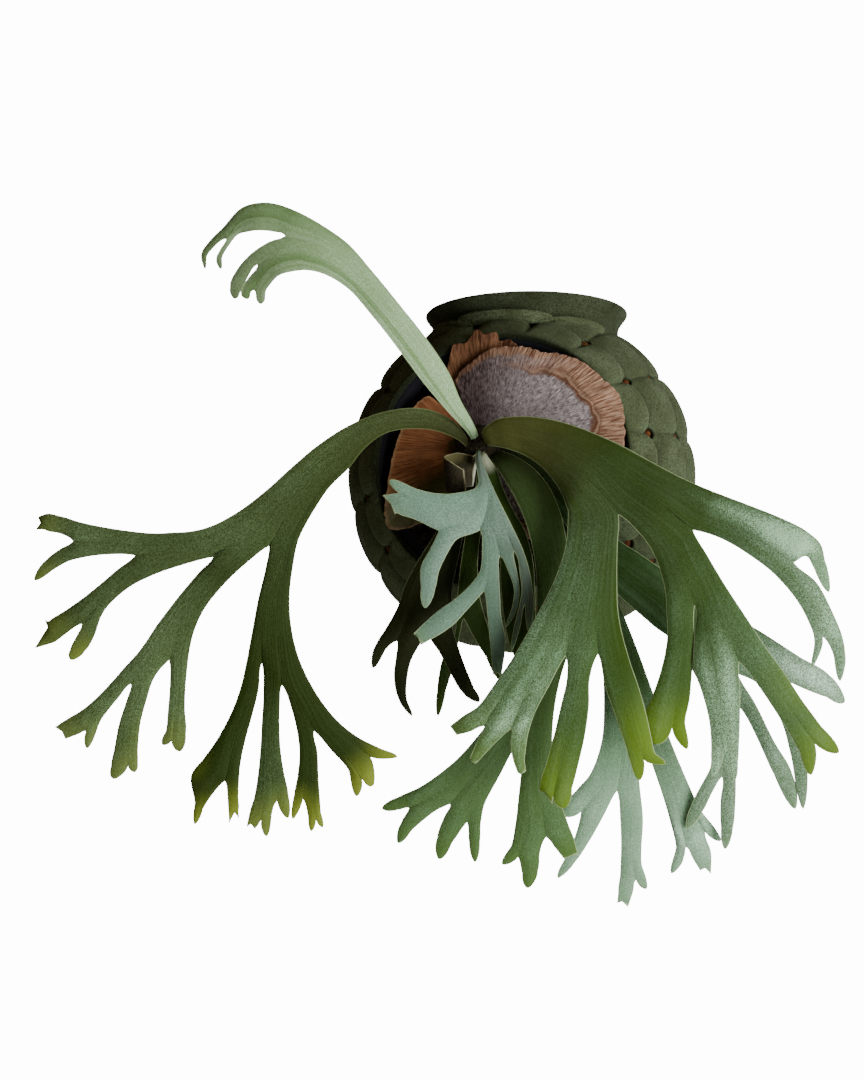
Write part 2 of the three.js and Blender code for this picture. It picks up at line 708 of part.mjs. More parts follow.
            parts: [
              { rungs: [[515, 622, 521, 624, 156]], tip: [511, 652, 151] },
              { rungs: [], tip: [529, 633, 156] },
            ],
          },
        ],
      },
    ],
  },
  fertile_frond_lower_left: {
    rungs: [
      [466, 461, 473, 464, 99], [460, 474, 473, 479, 108], [452, 495, 470, 500, 116], [444, 514, 466, 522, 123],
      [436, 532, 461, 546, 127], [420, 557, 456, 569, 130], [406, 583, 452, 591, 132], [398, 606, 452, 611, 133],
    ],
    depth: 133, fork: [[386, 628], [397, 641], [428, 634], [452, 624]],
    parts: [
      { rungs: [[375, 646, 386, 649, 131]], tip: [373, 668, 127] },
      { rungs: [[396, 656, 413, 656, 131], [394, 678, 407, 680, 127], [399, 700, 407, 700, 123]], tip: [412, 716, 119] },
      { rungs: [[441, 655, 460, 652, 136], [451, 674, 467, 671, 138], [463, 693, 474, 688, 139]], tip: [479, 702, 138] },
    ],
  },
  fertile_frond_green: {
    rungs: [
      [474, 466, 480, 466, 103], [476, 480, 484, 481, 115], [474, 500, 485, 501, 127], [467.5, 524, 482, 525, 136],
      [462, 555, 478, 557, 141], [458, 588, 479, 590, 142],
    ],
    depth: 139, fork: [[457, 606], [464, 619], [482, 606]],
    parts: [
      { rungs: [[456, 627, 461, 630, 131], [441, 664, 453, 667, 118], [437, 692, 446, 690, 115]], tip: [438, 716, 114] },
      { rungs: [[474, 638, 489, 629, 137], [486, 657, 497, 652, 135]], tip: [500, 680, 133] },
    ],
  },
  fertile_frond_narrow: {
    rungs: [
      [486, 462, 492, 460, 101], [488, 473, 497, 470, 113], [490, 491, 503, 488, 122], [494, 511, 512, 508, 129],
      [498, 535, 525, 531, 133], [500, 560, 533, 560, 134], [501, 590, 535, 590, 134], [504, 618, 536, 620, 133],
    ],
    depth: 131, fork: [[508, 638], [520, 650], [540, 644]],
    parts: [
      { rungs: [], tip: [517, 660, 129] },
      { rungs: [], tip: [538, 690, 127] },
    ],
  },
  fertile_frond_lower_middle: {
    rungs: [
      [489, 456, 496, 450, 102], [495, 465, 508, 453, 117], [504, 479, 527, 463, 129], [515, 498, 546, 482, 138],
      [525, 521, 559, 508, 144], [532, 546, 566, 538, 148], [536, 573, 570, 570, 151], [537, 606, 572, 604, 152],
      [533, 641, 571, 640, 152], [519, 673, 560, 680, 151],
    ],
    depth: 149, fork: [[500, 706], [520, 738], [553, 722]],
    parts: [
      {
        rungs: [[470, 745, 500, 775, 146]],
        depth: 143, fork: [[444, 770], [450, 804], [484, 806]],
        parts: [
          {
            rungs: [],
            depth: 141, fork: [[418, 788], [409, 808], [431, 814]],
            parts: [
              { rungs: [[397, 797.5, 397, 810, 139]], tip: [382, 808, 137] },
              { rungs: [[401, 823, 412, 830, 139]], tip: [398, 843, 137] },
            ],
          },
          {
            rungs: [],
            depth: 140, fork: [[445, 815], [467, 822], [481, 822]],
            parts: [
              { rungs: [[437, 838, 452, 843, 138]], tip: [439, 859, 135] },
              { rungs: [[469, 842, 480, 842, 138]], tip: [475, 862, 135] },
            ],
          },
        ],
      },
      {
        rungs: [[521.5, 762, 552, 757, 146], [518.5, 796, 557, 790, 143]],
        depth: 140, fork: [[515, 826], [546, 837], [569, 826]],
        parts: [
          {
            rungs: [],
            depth: 138, fork: [[511, 846], [518, 857], [540, 852]],
            parts: [
              { rungs: [], tip: [502, 864, 137] },
              { rungs: [[522, 873, 538, 871, 136]], tip: [528, 888, 134] },
            ],
          },
          { rungs: [[557, 850, 575, 843, 138]], tip: [572, 861, 136] },
        ],
      },
    ],
  },
  fertile_frond_lower_right: {
    rungs: [
      [496, 458, 502, 452, 96], [502, 469, 513, 460, 104], [515, 493, 533, 481, 110], [534, 523, 558, 511, 115],
      [556, 554, 584, 541, 119], [578, 588, 606, 571, 125], [592, 622, 620, 606, 129], [599, 646, 634, 641, 132],
    ],
    depth: 133, fork: [[603, 670], [626, 700], [647, 676]],
    parts: [
      {
        rungs: [[604, 704, 632, 726, 133], [602, 739, 637, 757, 133]],
        depth: 132, fork: [[590, 774], [617, 791], [640, 788]],
        parts: [
          {
            rungs: [],
            depth: 130, fork: [[576, 791], [581, 812], [604, 815]],
            parts: [
              { rungs: [], tip: [562, 814, 128] },
              { rungs: [[574, 839, 590, 840, 128], [564, 860, 575, 862, 126]], tip: [558, 878, 125] },
            ],
          },
          {
            rungs: [[620, 818, 643, 818, 130], [621, 850, 641.5, 850, 128]],
            depth: 127, fork: [[620, 875], [636, 880], [642, 866]],
            parts: [
              { rungs: [[618, 893, 633, 892, 126]], tip: [624, 907, 125] },
              { rungs: [], tip: [647, 888, 126] },
            ],
          },
        ],
      },
      {
        rungs: [[640, 734, 661, 716, 133], [652, 765, 677, 757, 134], [663, 797, 692, 792, 134]],
        depth: 133, fork: [[670, 820], [686, 847], [705, 832], [701, 811]],
        parts: [
          { rungs: [[676, 847, 684, 857, 131]], tip: [671, 873, 128] },
          { rungs: [[693, 859, 711, 852, 131]], tip: [707, 874, 129] },
          { rungs: [], tip: [721, 839, 131] },
        ],
      },
    ],
  },
  fertile_frond_far_right: {
    rungs: [
      [500, 448, 505, 442, 103], [511, 458, 519, 447, 109], [532, 482, 546, 463, 117], [558, 512, 579, 487, 124],
      [585, 560, 607, 531, 131], [614, 591, 640, 554, 136], [650, 623, 677, 579, 139],
    ],
    depth: 141, fork: [[680, 650], [704, 668], [743, 656], [729, 613]],
    parts: [
      {
        rungs: [[703, 692, 729, 693, 143], [711, 722, 736, 723, 144], [712, 748, 736, 748, 143]],
        depth: 141, fork: [[710, 768], [722, 777], [736, 770]],
        parts: [
          { rungs: [[700, 787, 713, 791, 141], [690, 808, 702, 812, 139]], tip: [687, 828, 137] },
          { rungs: [[720.5, 800, 735.5, 800, 141], [721, 827, 733, 828, 140]], tip: [725, 849, 139] },
        ],
      },
      {
        rungs: [],
        depth: 142, fork: [[722, 689], [738, 674], [752, 662]],
        parts: [
          { rungs: [[741, 709, 755, 703, 142], [757, 738, 774, 741, 140], [774, 775, 792, 773, 137]], tip: [795, 809, 133] },
          { rungs: [[760, 685, 771, 679, 143], [780, 718, 792, 713, 142], [791, 756, 806, 760, 139]], tip: [803, 809, 134] },
        ],
      },
      {
        rungs: [[773, 673, 763, 633, 143], [800, 687, 800, 657, 141], [826, 697, 829, 675, 138]],
        tip: [845, 701, 134],
      },
    ],
  },
  young_frond: {
    rungs: [
      [473, 453, 475.5, 457, 105], [460, 454, 474, 465, 119], [448, 457, 475, 476, 126], [445, 470, 469, 487, 129],
    ],
    tip: [449, 492, 129], hollow: 7,
  },
};

// Between two points of a smooth line, with the points before and after them.
function between(before, from, to, after, share) {
  const s2 = share * share;
  const s3 = s2 * share;
  return from.map(
    (_, i) =>
      0.5 *
      (2 * from[i] +
        (to[i] - before[i]) * share +
        (2 * before[i] - 5 * from[i] + 4 * to[i] - after[i]) * s2 +
        (3 * from[i] - before[i] - 3 * to[i] + after[i]) * s3),
  );
}

const TIP_SHARE = 0.62; // the extra rung that rounds a tip off
const TIP_FULLNESS = 0.8;
const LONG_STRETCH = 30; // board steps between two rungs that earn another one
const BLADE_BOW = 1.2; // mm by which the middle of a blade stands in front of its margins

// The rungs of one part of a blade, with one more in each long stretch and a rounded tip.
function smoothRungs(first, part, before) {
  const given = first ? [first, ...part.rungs] : [...part.rungs];
  const after = part.fork
    ? [...part.fork[0], ...part.fork[part.fork.length - 1], part.depth]
    : [part.tip[0], part.tip[1], part.tip[0], part.tip[1], part.tip[2]];
  const line = [before ?? given[0], ...given, after, after];
  const made = [];
  for (let i = 1; i < line.length - 2; i++) {
    made.push(line[i]);
    const length = Math.hypot(line[i + 1][0] - line[i][0], line[i + 1][1] - line[i][1]);
    if (i < line.length - 3 && length > LONG_STRETCH) {
      made.push(between(line[i - 1], line[i], line[i + 1], line[i + 2], 0.5));
    }
  }
  if (part.tip) {
    const last = given[given.length - 1];
    const [x, y, depth] = part.tip;
    const width = [last[0] - last[2], last[1] - last[3]];
    const mid = [(last[0] + last[2]) / 2, (last[1] + last[3]) / 2];
    const place = [mid[0] + (x - mid[0]) * TIP_SHARE, mid[1] + (y - mid[1]) * TIP_SHARE];
    const half = (TIP_FULLNESS * Math.sqrt(1 - TIP_SHARE ** 2)) / 2;
    made.push([
      place[0] + width[0] * half,
      place[1] + width[1] * half,
      place[0] - width[0] * half,
      place[1] - width[1] * half,
      last[4] + (depth - last[4]) * TIP_SHARE,
    ]);
  }
  return made;
}

// Fills the stretch between two rows of points that may differ in number.
function zip(faces, lower, upper) {
  let i = 0;
  let j = 0;
  while (i < lower.length - 1 || j < upper.length - 1) {
    const nextLower = i < lower.length - 1 ? (i + 1) / (lower.length - 1) : Infinity;
    const nextUpper = j < upper.length - 1 ? (j + 1) / (upper.length - 1) : Infinity;
    if (nextLower <= nextUpper) {
      faces.push([lower[i], lower[i + 1], upper[j]]);
      i++;
    } else {
      faces.push([lower[i], upper[j + 1], upper[j]]);
      j++;
    }
  }
}

// The middle sheet of a frond. With `stalk` set, only that many rungs from its foot are made, and every
// rung is wider by `extra` board steps at each end.
function frondSheet(frond, stalk = Infinity, extra = 0) {
  const points = [];
  const faces = [];
  const hollow = frond.hollow ?? -BLADE_BOW;
  const addPoint = (x, y, depth) => points.push(onBoard(x, y, depth)) - 1;
  const addRung = ([lx, ly, rx, ry, depth]) => {
    const length = Math.hypot(rx - lx, ry - ly);
    const ux = ((rx - lx) / length) * extra;
    const uy = ((ry - ly) / length) * extra;
    const middle = depth - hollow * Math.min(1, length / 20);
    return [
      addPoint(lx - ux, ly - uy, depth),
      addPoint((lx + rx) / 2, (ly + ry) / 2, middle),
      addPoint(rx + ux, ry + uy, depth),
    ];
  };
  const grow = (part, row, first, before) => {
    const rungs = smoothRungs(first, part, before);
    const from = first ? 1 : 0;
    for (const rung of rungs.slice(from, stalk)) {
      const next = addRung(rung);
      if (row) zip(faces, row, next);
      row = next;
    }
    if (rungs.length > stalk) return;
    if (part.tip) {
      zip(faces, row, [addPoint(...part.tip)]);
      return;
    }
    const last = rungs[rungs.length - 1];
    const line = [];
    part.fork.forEach(([x, y], i) => {
      if (i > 0) {
        const [px, py] = part.fork[i - 1];
        line.push(addPoint((px + x) / 2, (py + y) / 2, part.depth + BLADE_BOW));
      }
      line.push(addPoint(x, y, part.depth));
    });
    zip(faces, row, line);
    part.parts.forEach((child, i) => {
      const start = [...part.fork[i], ...part.fork[i + 1], part.depth];
      const behind = [
        ...(i === 0 ? last.slice(0, 2) : part.fork[i]),
        ...(i === part.parts.length - 1 ? last.slice(2, 4) : part.fork[i + 1]),
        last[4],
      ];
      grow(child, line.slice(2 * i, 2 * i + 3), start, behind);
    });
  };
  grow(frond, null, null, null);
  return { points, faces };
}

function frondSolid(frond) {
  const { points, faces } = frondSheet(frond);
  return toSolid(thickened(points, faces, FROND_THICKNESS));
}

const SLOT_RUNGS = 3;

function slotCutter(frond) {
  const { points, faces } = frondSheet(frond, SLOT_RUNGS, SLOT_CLEARANCE / BOARD_STEP);
  const foot = points[0].clone().add(points[2]).multiplyScalar(0.5);
  const inward = onBoard(BUD[0], BUD[1], BUD_DEPTH).sub(foot).normalize();
  for (let i = 0; i < 3; i++) points[i].addScaledVector(inward, SLOT_CLEARANCE);
  return toSolid(thickened(points, faces, FROND_THICKNESS + 2 * SLOT_CLEARANCE));
}

function rhizome() {
  return Object.values(FRONDS).reduce((body, frond) => body.subtract(slotCutter(frond)), budBody(0));
}

// Materials and assembly

const finish = (color, roughness) => new THREE.MeshStandardMaterial({ color, roughness, metalness: 0 });
const FELT = finish(0x3b4a38, 0.95);
const COIR = finish(0xa9682f, 0.95);
const BLACK_LINER = finish(0x121118, 0.7);
const BARK_MIX = finish(0x2a211a, 0.95);
const BUD_SCALES = finish(0x4a3526, 0.9);
const FELTED_SHIELD = finish(0x8e8490, 0.9);
const DRY_SHIELD = finish(0x8a5430, 0.9);
const GREEN_BLADE = finish(0x4f6b30, 0.6);
const PALE_BLADE = finish(0x8fae96, 0.65);
const DARK_BLADE = finish(0x31351f, 0.7);

const BLADE_FINISH = {
  fertile_frond_tall: PALE_BLADE,
  fertile_frond_front: PALE_BLADE,
  fertile_frond_lower_left: DARK_BLADE,
  young_frond: PALE_BLADE,
};

const plantInBasket = new THREE.Group();
const basket = new THREE.Group();
basket.position.copy(GLOBE);
const fern = new THREE.Group();
plantInBasket.add(basket, fern);

function addPiece(group, name, solid, material) {
  const piece = new THREE.Mesh(toGeometry(solid), material);
  piece.name = name;
  group.add(piece);
}

const opening = neckHole(NECK_RADIUS + NECK_CLEARANCE, 0);
addPiece(basket, "felt_collar", collar(), FELT);
addPiece(basket, "felt_ring_1_mouth", scaleRing(lipSection(), LIP_CLEARANCE), FELT);
RING_EDGES.slice(1).forEach((end, i) => {
  const ring = scaleRing(ringSection(RING_EDGES[i], end), i === 0 ? TONGUE_CLEARANCE : null);
  addPiece(basket, `felt_ring_${i + 2}`, ring.subtract(opening), FELT);
});
addPiece(basket, "felt_back_cap", backCap(), FELT);
const lining = shell(LINING_OUTSIDE, LINING_INSIDE, SHELL_ANGLES, 24).subtract(opening);
addPiece(basket, "coir_lining", lining, COIR);
const liner = shell(LINER_OUTSIDE, LINER_INSIDE, SHELL_ANGLES, 24).subtract(opening);
addPiece(basket, "inner_liner", liner, BLACK_LINER);
const budSeat = budBody(SLOT_CLEARANCE).translate(GLOBE.clone().negate().toArray());
addPiece(basket, "growing_medium", mediumBody().subtract(budSeat), BARK_MIX);

addPiece(fern, "rhizome", rhizome(), BUD_SCALES);
for (const [name, shield] of Object.entries(SHIELDS)) {
  addPiece(fern, name, shieldFrond(shield), name === "shield_frond_round" ? FELTED_SHIELD : DRY_SHIELD);
}
for (const [name, frond] of Object.entries(FRONDS)) {
  addPiece(fern, name, frondSolid(frond), BLADE_FINISH[name] ?? GREEN_BLADE);
}

export default plantInBasket;
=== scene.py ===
# A staghorn fern growing out of the side of a hanging globe of thick felt scales.
# Millimetres in the tables, metres in the meshes. The mouth of the basket looks along -Y.
import itertools

import bpy
import numpy as np
from mathutils import Matrix


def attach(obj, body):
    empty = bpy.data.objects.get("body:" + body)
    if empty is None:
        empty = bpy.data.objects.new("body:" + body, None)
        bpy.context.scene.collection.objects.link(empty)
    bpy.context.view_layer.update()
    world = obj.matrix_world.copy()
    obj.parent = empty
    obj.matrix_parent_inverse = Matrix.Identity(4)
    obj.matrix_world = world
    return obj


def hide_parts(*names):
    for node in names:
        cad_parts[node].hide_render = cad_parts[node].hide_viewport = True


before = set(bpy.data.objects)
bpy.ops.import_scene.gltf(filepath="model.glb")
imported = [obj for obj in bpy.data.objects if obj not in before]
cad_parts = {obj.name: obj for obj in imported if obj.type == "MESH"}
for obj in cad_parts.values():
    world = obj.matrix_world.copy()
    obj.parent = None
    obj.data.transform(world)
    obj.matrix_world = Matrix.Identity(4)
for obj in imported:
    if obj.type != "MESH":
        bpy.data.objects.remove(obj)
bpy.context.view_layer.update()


# Growing medium
# Chunks of dark bark and old moss packed in the globe, up to the back of its round mouth. The roots
# hold it together, and the felt, coir and liner hold it in.
GLOBE = np.array([-5.0, 0.0, -134.0])  # middle of the globe
NECK_SIDE = 5.0  # the collar stands this far to the right of the globe's middle
MEDIUM_RADIUS = 120.2
MEDIUM_EDGE = 47.0  # degrees from the mouth's axis to the edge of the flat front
MEDIUM_TOP = 95.4  # above the globe's middle, where it is level under the collar
MEDIUM_SUNK = 1.5  # the front lies this far back, so that few chunks stand out of it
BARK_CHUNKS = [(9, 2.2, 1), (4, 1.3, 2)]  # width, height and seed of the large and the small chunks
BARK_DEEP = "#0B090A"
BARK_PALE = "#2C2118"


def linear(colour):
    """The linear RGBA of an sRGB colour written as #RRGGBB."""
    share = [int(colour[i:i + 2], 16) / 255 for i in (1, 3, 5)]
    return [c / 12.92 if c <= 0.04045 else ((c + 0.055) / 1.055) ** 2.4 for c in share] + [1.0]


def fill(material, node, inputs):
    """Fills a node's inputs, each with the socket it comes from, a value, or a colour as #RRGGBB."""
    for name, value in inputs.items():
        socket = node.inputs[name]
        if isinstance(value, bpy.types.NodeSocket):
            material.node_tree.links.new(value, socket)
        else:
            socket.default_value = linear(value) if isinstance(value, str) else value


def add(material, kind, inputs=None, output=0, **settings):
    """Adds one shader node with its settings and links, and gives one of its outputs."""
    node = material.node_tree.nodes.new("ShaderNode" + kind)
    for name, value in settings.items():
        setattr(node, name, value)
    fill(material, node, inputs or {})
    return node.outputs[output]


def matt_material(name, roughness, specular=0.3):
    """An empty material with one surface shader, and that shader."""
    material = bpy.data.materials.new(name)
    material.use_nodes = True
    shader = material.node_tree.nodes["Principled BSDF"]
    fill(material, shader, {"Roughness": roughness, "Specular IOR Level": specular})
    return material, shader


def stepped(material, value, low, high):
    """0 below low, 1 above high, with a soft step between. With low above high it runs the other way."""
    limits = {"Value": value, "From Min": low, "From Max": high}
    return add(material, "MapRange", limits, "Result", interpolation_type="SMOOTHSTEP")


def grain(material, size, detail=2.0, rough=0.5, contrast=None):
    """Noise whose blots are `size` mm across, stretched to run from 0 to 1 between the contrast limits."""
    noise = add(material, "TexNoise", {
        "Vector": add(material, "TexCoord", output="Object"),
        "Scale": 1000 / size, "Detail": detail, "Roughness": rough,
    }, "Fac")
    return stepped(material, noise, *contrast) if contrast else noise


def coats(material, ground, *layers):
    """Colours laid over a ground one after the other. A layer is its share, from 0 to 1, and its colour."""
    for share, colour in layers:
        ground = add(material, "Mix", {0: share, 6: ground, 7: colour}, 2, data_type="RGBA")
    return ground


def product(material, share, *others):
    """Shares multiplied with each other."""
    for other in others:
        share = add(material, "Math", {0: share, 1: other}, operation="MULTIPLY")
    return share


def relief(material, *levels):
    """The direction of a surface with fine relief. A level is its height from 0 to 1 and its depth in mm."""
    beneath = {}
    for height, depth in levels:
        normal = add(material, "Bump", {"Height": height, "Distance": depth / 1000, **beneath}, "Normal")
        beneath = {"Normal": normal}
    return normal


def bumps(points, size, seed=0.0):
    """Smooth random heights from -1 to 1: random values on a cubic lattice of that size, blended
    between the eight corners round each point."""
    cell = np.asarray(points) / size
    corner = np.floor(cell)
    part = cell - corner
    part = part * part * (3 - 2 * part)
    total = np.zeros(len(cell))
    for step in itertools.product((0, 1), repeat=3):
        key = corner + step
        value = np.sin(key @ np.array([127.1, 311.7, 74.7]) + seed * 17.31) * 43758.5453
        value = (value - np.floor(value)) * 2 - 1
        total += value * np.prod(np.where(step, part, 1 - part), axis=1)
    return total


def lumps(points, kinds):
    """Bumps of several kinds laid over each other. A kind is its width and height in mm, and its seed."""
    return sum(height * bumps(points, width, seed) for width, height, seed in kinds)


def ball_way(polar, turn):
    """Directions from a ball's middle: degrees from the mouth's axis and degrees round it from the top."""
    polar, turn = np.broadcast_arrays(np.radians(polar), np.radians(turn))
    return np.stack([np.sin(polar) * np.sin(turn), -np.cos(polar), np.sin(polar) * np.cos(turn)], axis=-1)


def on_globe(radius, polar, turn):
    """Points at a radius from the globe's middle, in the directions that ball_way gives."""
    return GLOBE + np.asarray(radius, float)[..., None] * ball_way(polar, turn)


def numbered(grid):
    """The point numbers of a grid of points, row by row."""
    return np.arange(grid[..., 0].size).reshape(grid.shape[:-1])


def woven(ids, closed=False):
    """The four-cornered faces of a grid of point numbers. A closed grid also joins its last column to its
    first."""
    if closed:
        ids = np.hstack([ids, ids[:, :1]])
    return np.stack([ids[:-1, :-1], ids[:-1, 1:], ids[1:, 1:], ids[1:, :-1]], axis=-1).reshape(-1, 4)


def fan(middle, ring):
    """The three-cornered faces from a middle point to every two neighbours of a ring of point numbers."""
    return [[middle, before, number] for before, number in zip(np.roll(ring, 1).tolist(), ring.tolist())]


def turned_out(points, faces):
    """The faces of a closed skin, all turned over if its outside was in."""
    corners = np.array([[f[0], f[i], f[i + 1]] for f in faces for i in range(1, len(f) - 1)])
    a, b, c = (np.asarray(points)[corners[:, i]] for i in range(3))
    return [list(f[::-1]) for f in faces] if np.sum(a * np.cross(b, c)) < 0 else faces


def piece(name, points, faces, material, replaces=(), values=None, uv=None):
    """A smooth mesh from points in mm in the row frame, which rides on the one body. `values` holds
    numbers for each point that the material reads, and `uv` a place on the surface for each point."""
    mesh = bpy.data.meshes.new(name)
    mesh.from_pydata((np.asarray(points) / 1000).tolist(), [], [list(f) for f in faces])
    for label, numbers in (values or {}).items():
        layer = mesh.attributes.new(label, "FLOAT", "POINT")
        layer.data.foreach_set("value", np.asarray(numbers, np.float32))
    if uv is not None:
        corners = np.empty(len(mesh.loops), np.int32)
        mesh.loops.foreach_get("vertex_index", corners)
        layer = mesh.uv_layers.new(name="surface")
        layer.data.foreach_set("uv", np.asarray(uv, np.float32)[corners].ravel())
    mesh.shade_smooth()
    mesh.validate()
    mesh.update()
    mesh.materials.append(material)
    made = bpy.data.objects.new(name, mesh)
    bpy.context.scene.collection.objects.link(made)
    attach(made, "root")
    if replaces:
        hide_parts(*replaces)
    return made


medium_turn = np.arange(0, 360, 3.0)
front_rim = on_globe(MEDIUM_RADIUS, MEDIUM_EDGE, medium_turn)
front_middle = np.array([GLOBE[0], front_rim[0, 1], GLOBE[2]])
front_rows = front_middle + (front_rim - front_middle) * np.linspace(0, 1, 26)[1:, None, None]
ball_rows = on_globe(MEDIUM_RADIUS, np.linspace(MEDIUM_EDGE, 179, 40)[1:, None], medium_turn[None, :])
medium_grid = np.concatenate([front_rows, ball_rows])
medium_ids = numbered(medium_grid)
in_front = (np.arange(len(medium_grid)) < len(front_rows) - 1)[:, None]
chunk_height = lumps(medium_grid.reshape(-1, 3), BARK_CHUNKS).reshape(medium_ids.shape)
medium_grid[..., 1] += np.where(in_front, chunk_height + MEDIUM_SUNK, 0)
medium_grid[..., 2] = np.minimum(medium_grid[..., 2], GLOBE[2] + MEDIUM_TOP)
medium_points = np.vstack([
    medium_grid.reshape(-1, 3),
    [GLOBE[0], medium_grid[0, :, 1].mean(), GLOBE[2]],
    GLOBE + [0, MEDIUM_RADIUS, 0],
])
medium_faces = woven(medium_ids, closed=True).tolist()
medium_faces += fan(medium_ids.size, medium_ids[0, ::-1]) + fan(medium_ids.size + 1, medium_ids[-1])

# Broken bark with old moss between: rough and moist, so the eye finds only near-black with brown glints.
bark, bark_shader = matt_material("bark and old moss", 0.95, specular=0.15)
chunks = grain(bark, 6, 3, contrast=(0.35, 0.7))
fill(bark, bark_shader, {
    "Base Color": coats(bark, BARK_DEEP, (chunks, BARK_PALE)), "Normal": relief(bark, (chunks, 1.5)),
})
piece("growing_medium_bark", medium_points, turned_out(medium_points, medium_faces), bark,
      replaces=["growing_medium"])


# Coir lining and inner liner
# A thick layer of coconut fibre lies inside the felt and shows in the holes between the scales. A
# thin black cloth lies inside the fibre and keeps the bark from falling through.
LINING_RADIUS = 127.6
LINING_THICKNESS = 4.2
LINING_WAVES = 1.2
LINER_RADIUS = 122.7
LINER_THICKNESS = 1.8
LINER_WAVES = 0.2
LINER_FOLD = [  # over the front edge of the fibre and up to the felt
    (46.8, 133.2), (44.9, 133.4), (44.3, 132.6), (44.3, 129), (44.8, 125.6), (45.9, 123.2),
]
WAVE_WIDTH = 14
WAVE_SEED = 3
SHELL_EDGE = 47.0  # degrees from the mouth's axis
SHELL_BACK = 178.5
SHELL_ROWS = 44
NECK_RADIUS = 73.8
STRAND_WIDTH = 10 / 11  # eleven strands of fibre to ten millimetres
STRAND_TURN = (0.4, 0.9, 0.3)
STRAND_STRETCH = 0.16
COIR_GOLD = "#7C5226"
COIR_RUST = "#57301C"
COIR_GAP_SHADE = "#2C150C"
LINER_BLACK = "#0D0D16"


def cut_for_neck(points, faces):
    """Takes away the faces inside the upright round hole for the neck, and draws the points left inside
    it out to the hole's edge. It also gives the numbers that the points left had."""
    side = points - GLOBE - [NECK_SIDE, 0, 0]
    flat = np.hypot(side[:, 0], side[:, 1])
    inside = (flat < NECK_RADIUS) & (side[:, 2] > 0)
    kept = [f for f in faces if not all(inside[c] for c in f)]
    used = np.unique([c for f in kept for c in f])
    scale = np.where(inside, NECK_RADIUS / np.maximum(flat, 1e-6), 1.0)
    moved = points.copy()
    distance = np.linalg.norm(points - GLOBE, axis=1)
    moved[:, 0] = np.where(inside, GLOBE[0] + NECK_SIDE + side[:, 0] * scale, points[:, 0])
    moved[:, 1] = np.where(inside, GLOBE[1] + side[:, 1] * scale, points[:, 1])
    across = (moved[:, 0] - GLOBE[0]) ** 2 + moved[:, 1] ** 2
    height = GLOBE[2] + np.sqrt(np.maximum(distance ** 2 - across, 1))
    moved[:, 2] = np.where(inside, height, points[:, 2])
    renumber = np.full(len(points), -1)
    renumber[used] = np.arange(len(used))
    return moved[used], [[int(renumber[c]) for c in f] for f in kept], used


def looking_out(points, faces):
    """The faces of an open skin, all turned over if they look towards the middle of the globe."""
    three = np.array([f[:3] for f in faces])
    a, b, c = (points[three[:, i]] for i in range(3))
    away = np.sum(np.cross(b - a, c - a) * (a - GLOBE))
    return [f[::-1] for f in faces] if away < 0 else faces


def thicken(made, thickness):
    """The skin gets its thickness on the inner side."""
    wall = made.modifiers.new("thickness", "SOLIDIFY")
    wall.thickness = thickness / 1000
    wall.offset = -1
    wall.use_quality_normals = True


def globe_shell(name, radius, thickness, material, node, waves, fold=()):
    """A ball open at the mouth and the neck, drawn in by smooth random waves up to that deep. A fold is
    the rows in front of its edge, as degrees from the mouth's axis and radius."""
    rows = np.array([*fold, *((polar, radius) for polar in np.linspace(SHELL_EDGE, SHELL_BACK, SHELL_ROWS))])
    grid = on_globe(rows[:, 1:], rows[:, :1], np.arange(0, 360, 4.0)[None, :])
    ids = numbered(grid)
    points = grid.reshape(-1, 3)
    drawn_in = waves * (1 + bumps(points, WAVE_WIDTH, WAVE_SEED)) / 2 / radius
    points = GLOBE + (points - GLOBE) * (1 - drawn_in)[:, None]
    points = np.vstack([points, GLOBE + [0, radius - waves / 2, 0]])
    points, faces, _ = cut_for_neck(points, woven(ids, closed=True).tolist() + fan(ids.size, ids[-1]))
    made = piece(name, points, looking_out(points, faces), material, replaces=[node])
    thicken(made, thickness)


# Coconut fibre, loose and dry: the eye sees orange-brown strands that run one way. They are drawn nearly
# 1 mm wide, coarser than real fibre, so that they show, and the dark gaps between them are painted shade.
coir, coir_shader = matt_material("coconut fibre", 0.95, specular=0.1)
strand_place = add(coir, "Mapping", {
    "Vector": add(coir, "TexCoord", output="Object"),
    "Rotation": STRAND_TURN, "Scale": (1, STRAND_STRETCH, 1),
})
strands = add(coir, "TexNoise", {
    "Vector": strand_place, "Scale": 1000 / STRAND_WIDTH, "Detail": 3.0, "Distortion": 1.2,
}, "Fac")
fibre = coats(coir, COIR_GOLD, (grain(coir, 16, 1, contrast=(0.38, 0.62)), COIR_RUST))
# Painted shade: where the strands sink between each other the fibre is painted dark.
strand_share = add(coir, "MapRange", {"Value": strands, "From Min": 0.36, "From Max": 0.5}, "Result")
fill(coir, coir_shader, {
    "Base Color": coats(coir, COIR_GAP_SHADE, (strand_share, fibre)), "Normal": relief(coir, (strands, 1.2)),
})
globe_shell("coir_lining_fibre", LINING_RADIUS, LINING_THICKNESS, coir, "coir_lining", LINING_WAVES)

# Thin non-woven cloth, dyed black: a dull dark edge round the mouth. Its grain is drawn 0.8 mm wide,
# coarser than the cloth's own, so that it shows.
black_cloth, cloth_shader = matt_material("black liner cloth", 0.8, specular=0.2)
fill(black_cloth, cloth_shader, {
    "Base Color": LINER_BLACK, "Normal": relief(black_cloth, (grain(black_cloth, 0.8, 1), 0.2)),
})
globe_shell("inner_liner_cloth", LINER_RADIUS, LINER_THICKNESS, black_cloth, "inner_liner",
            LINER_WAVES, fold=LINER_FOLD)


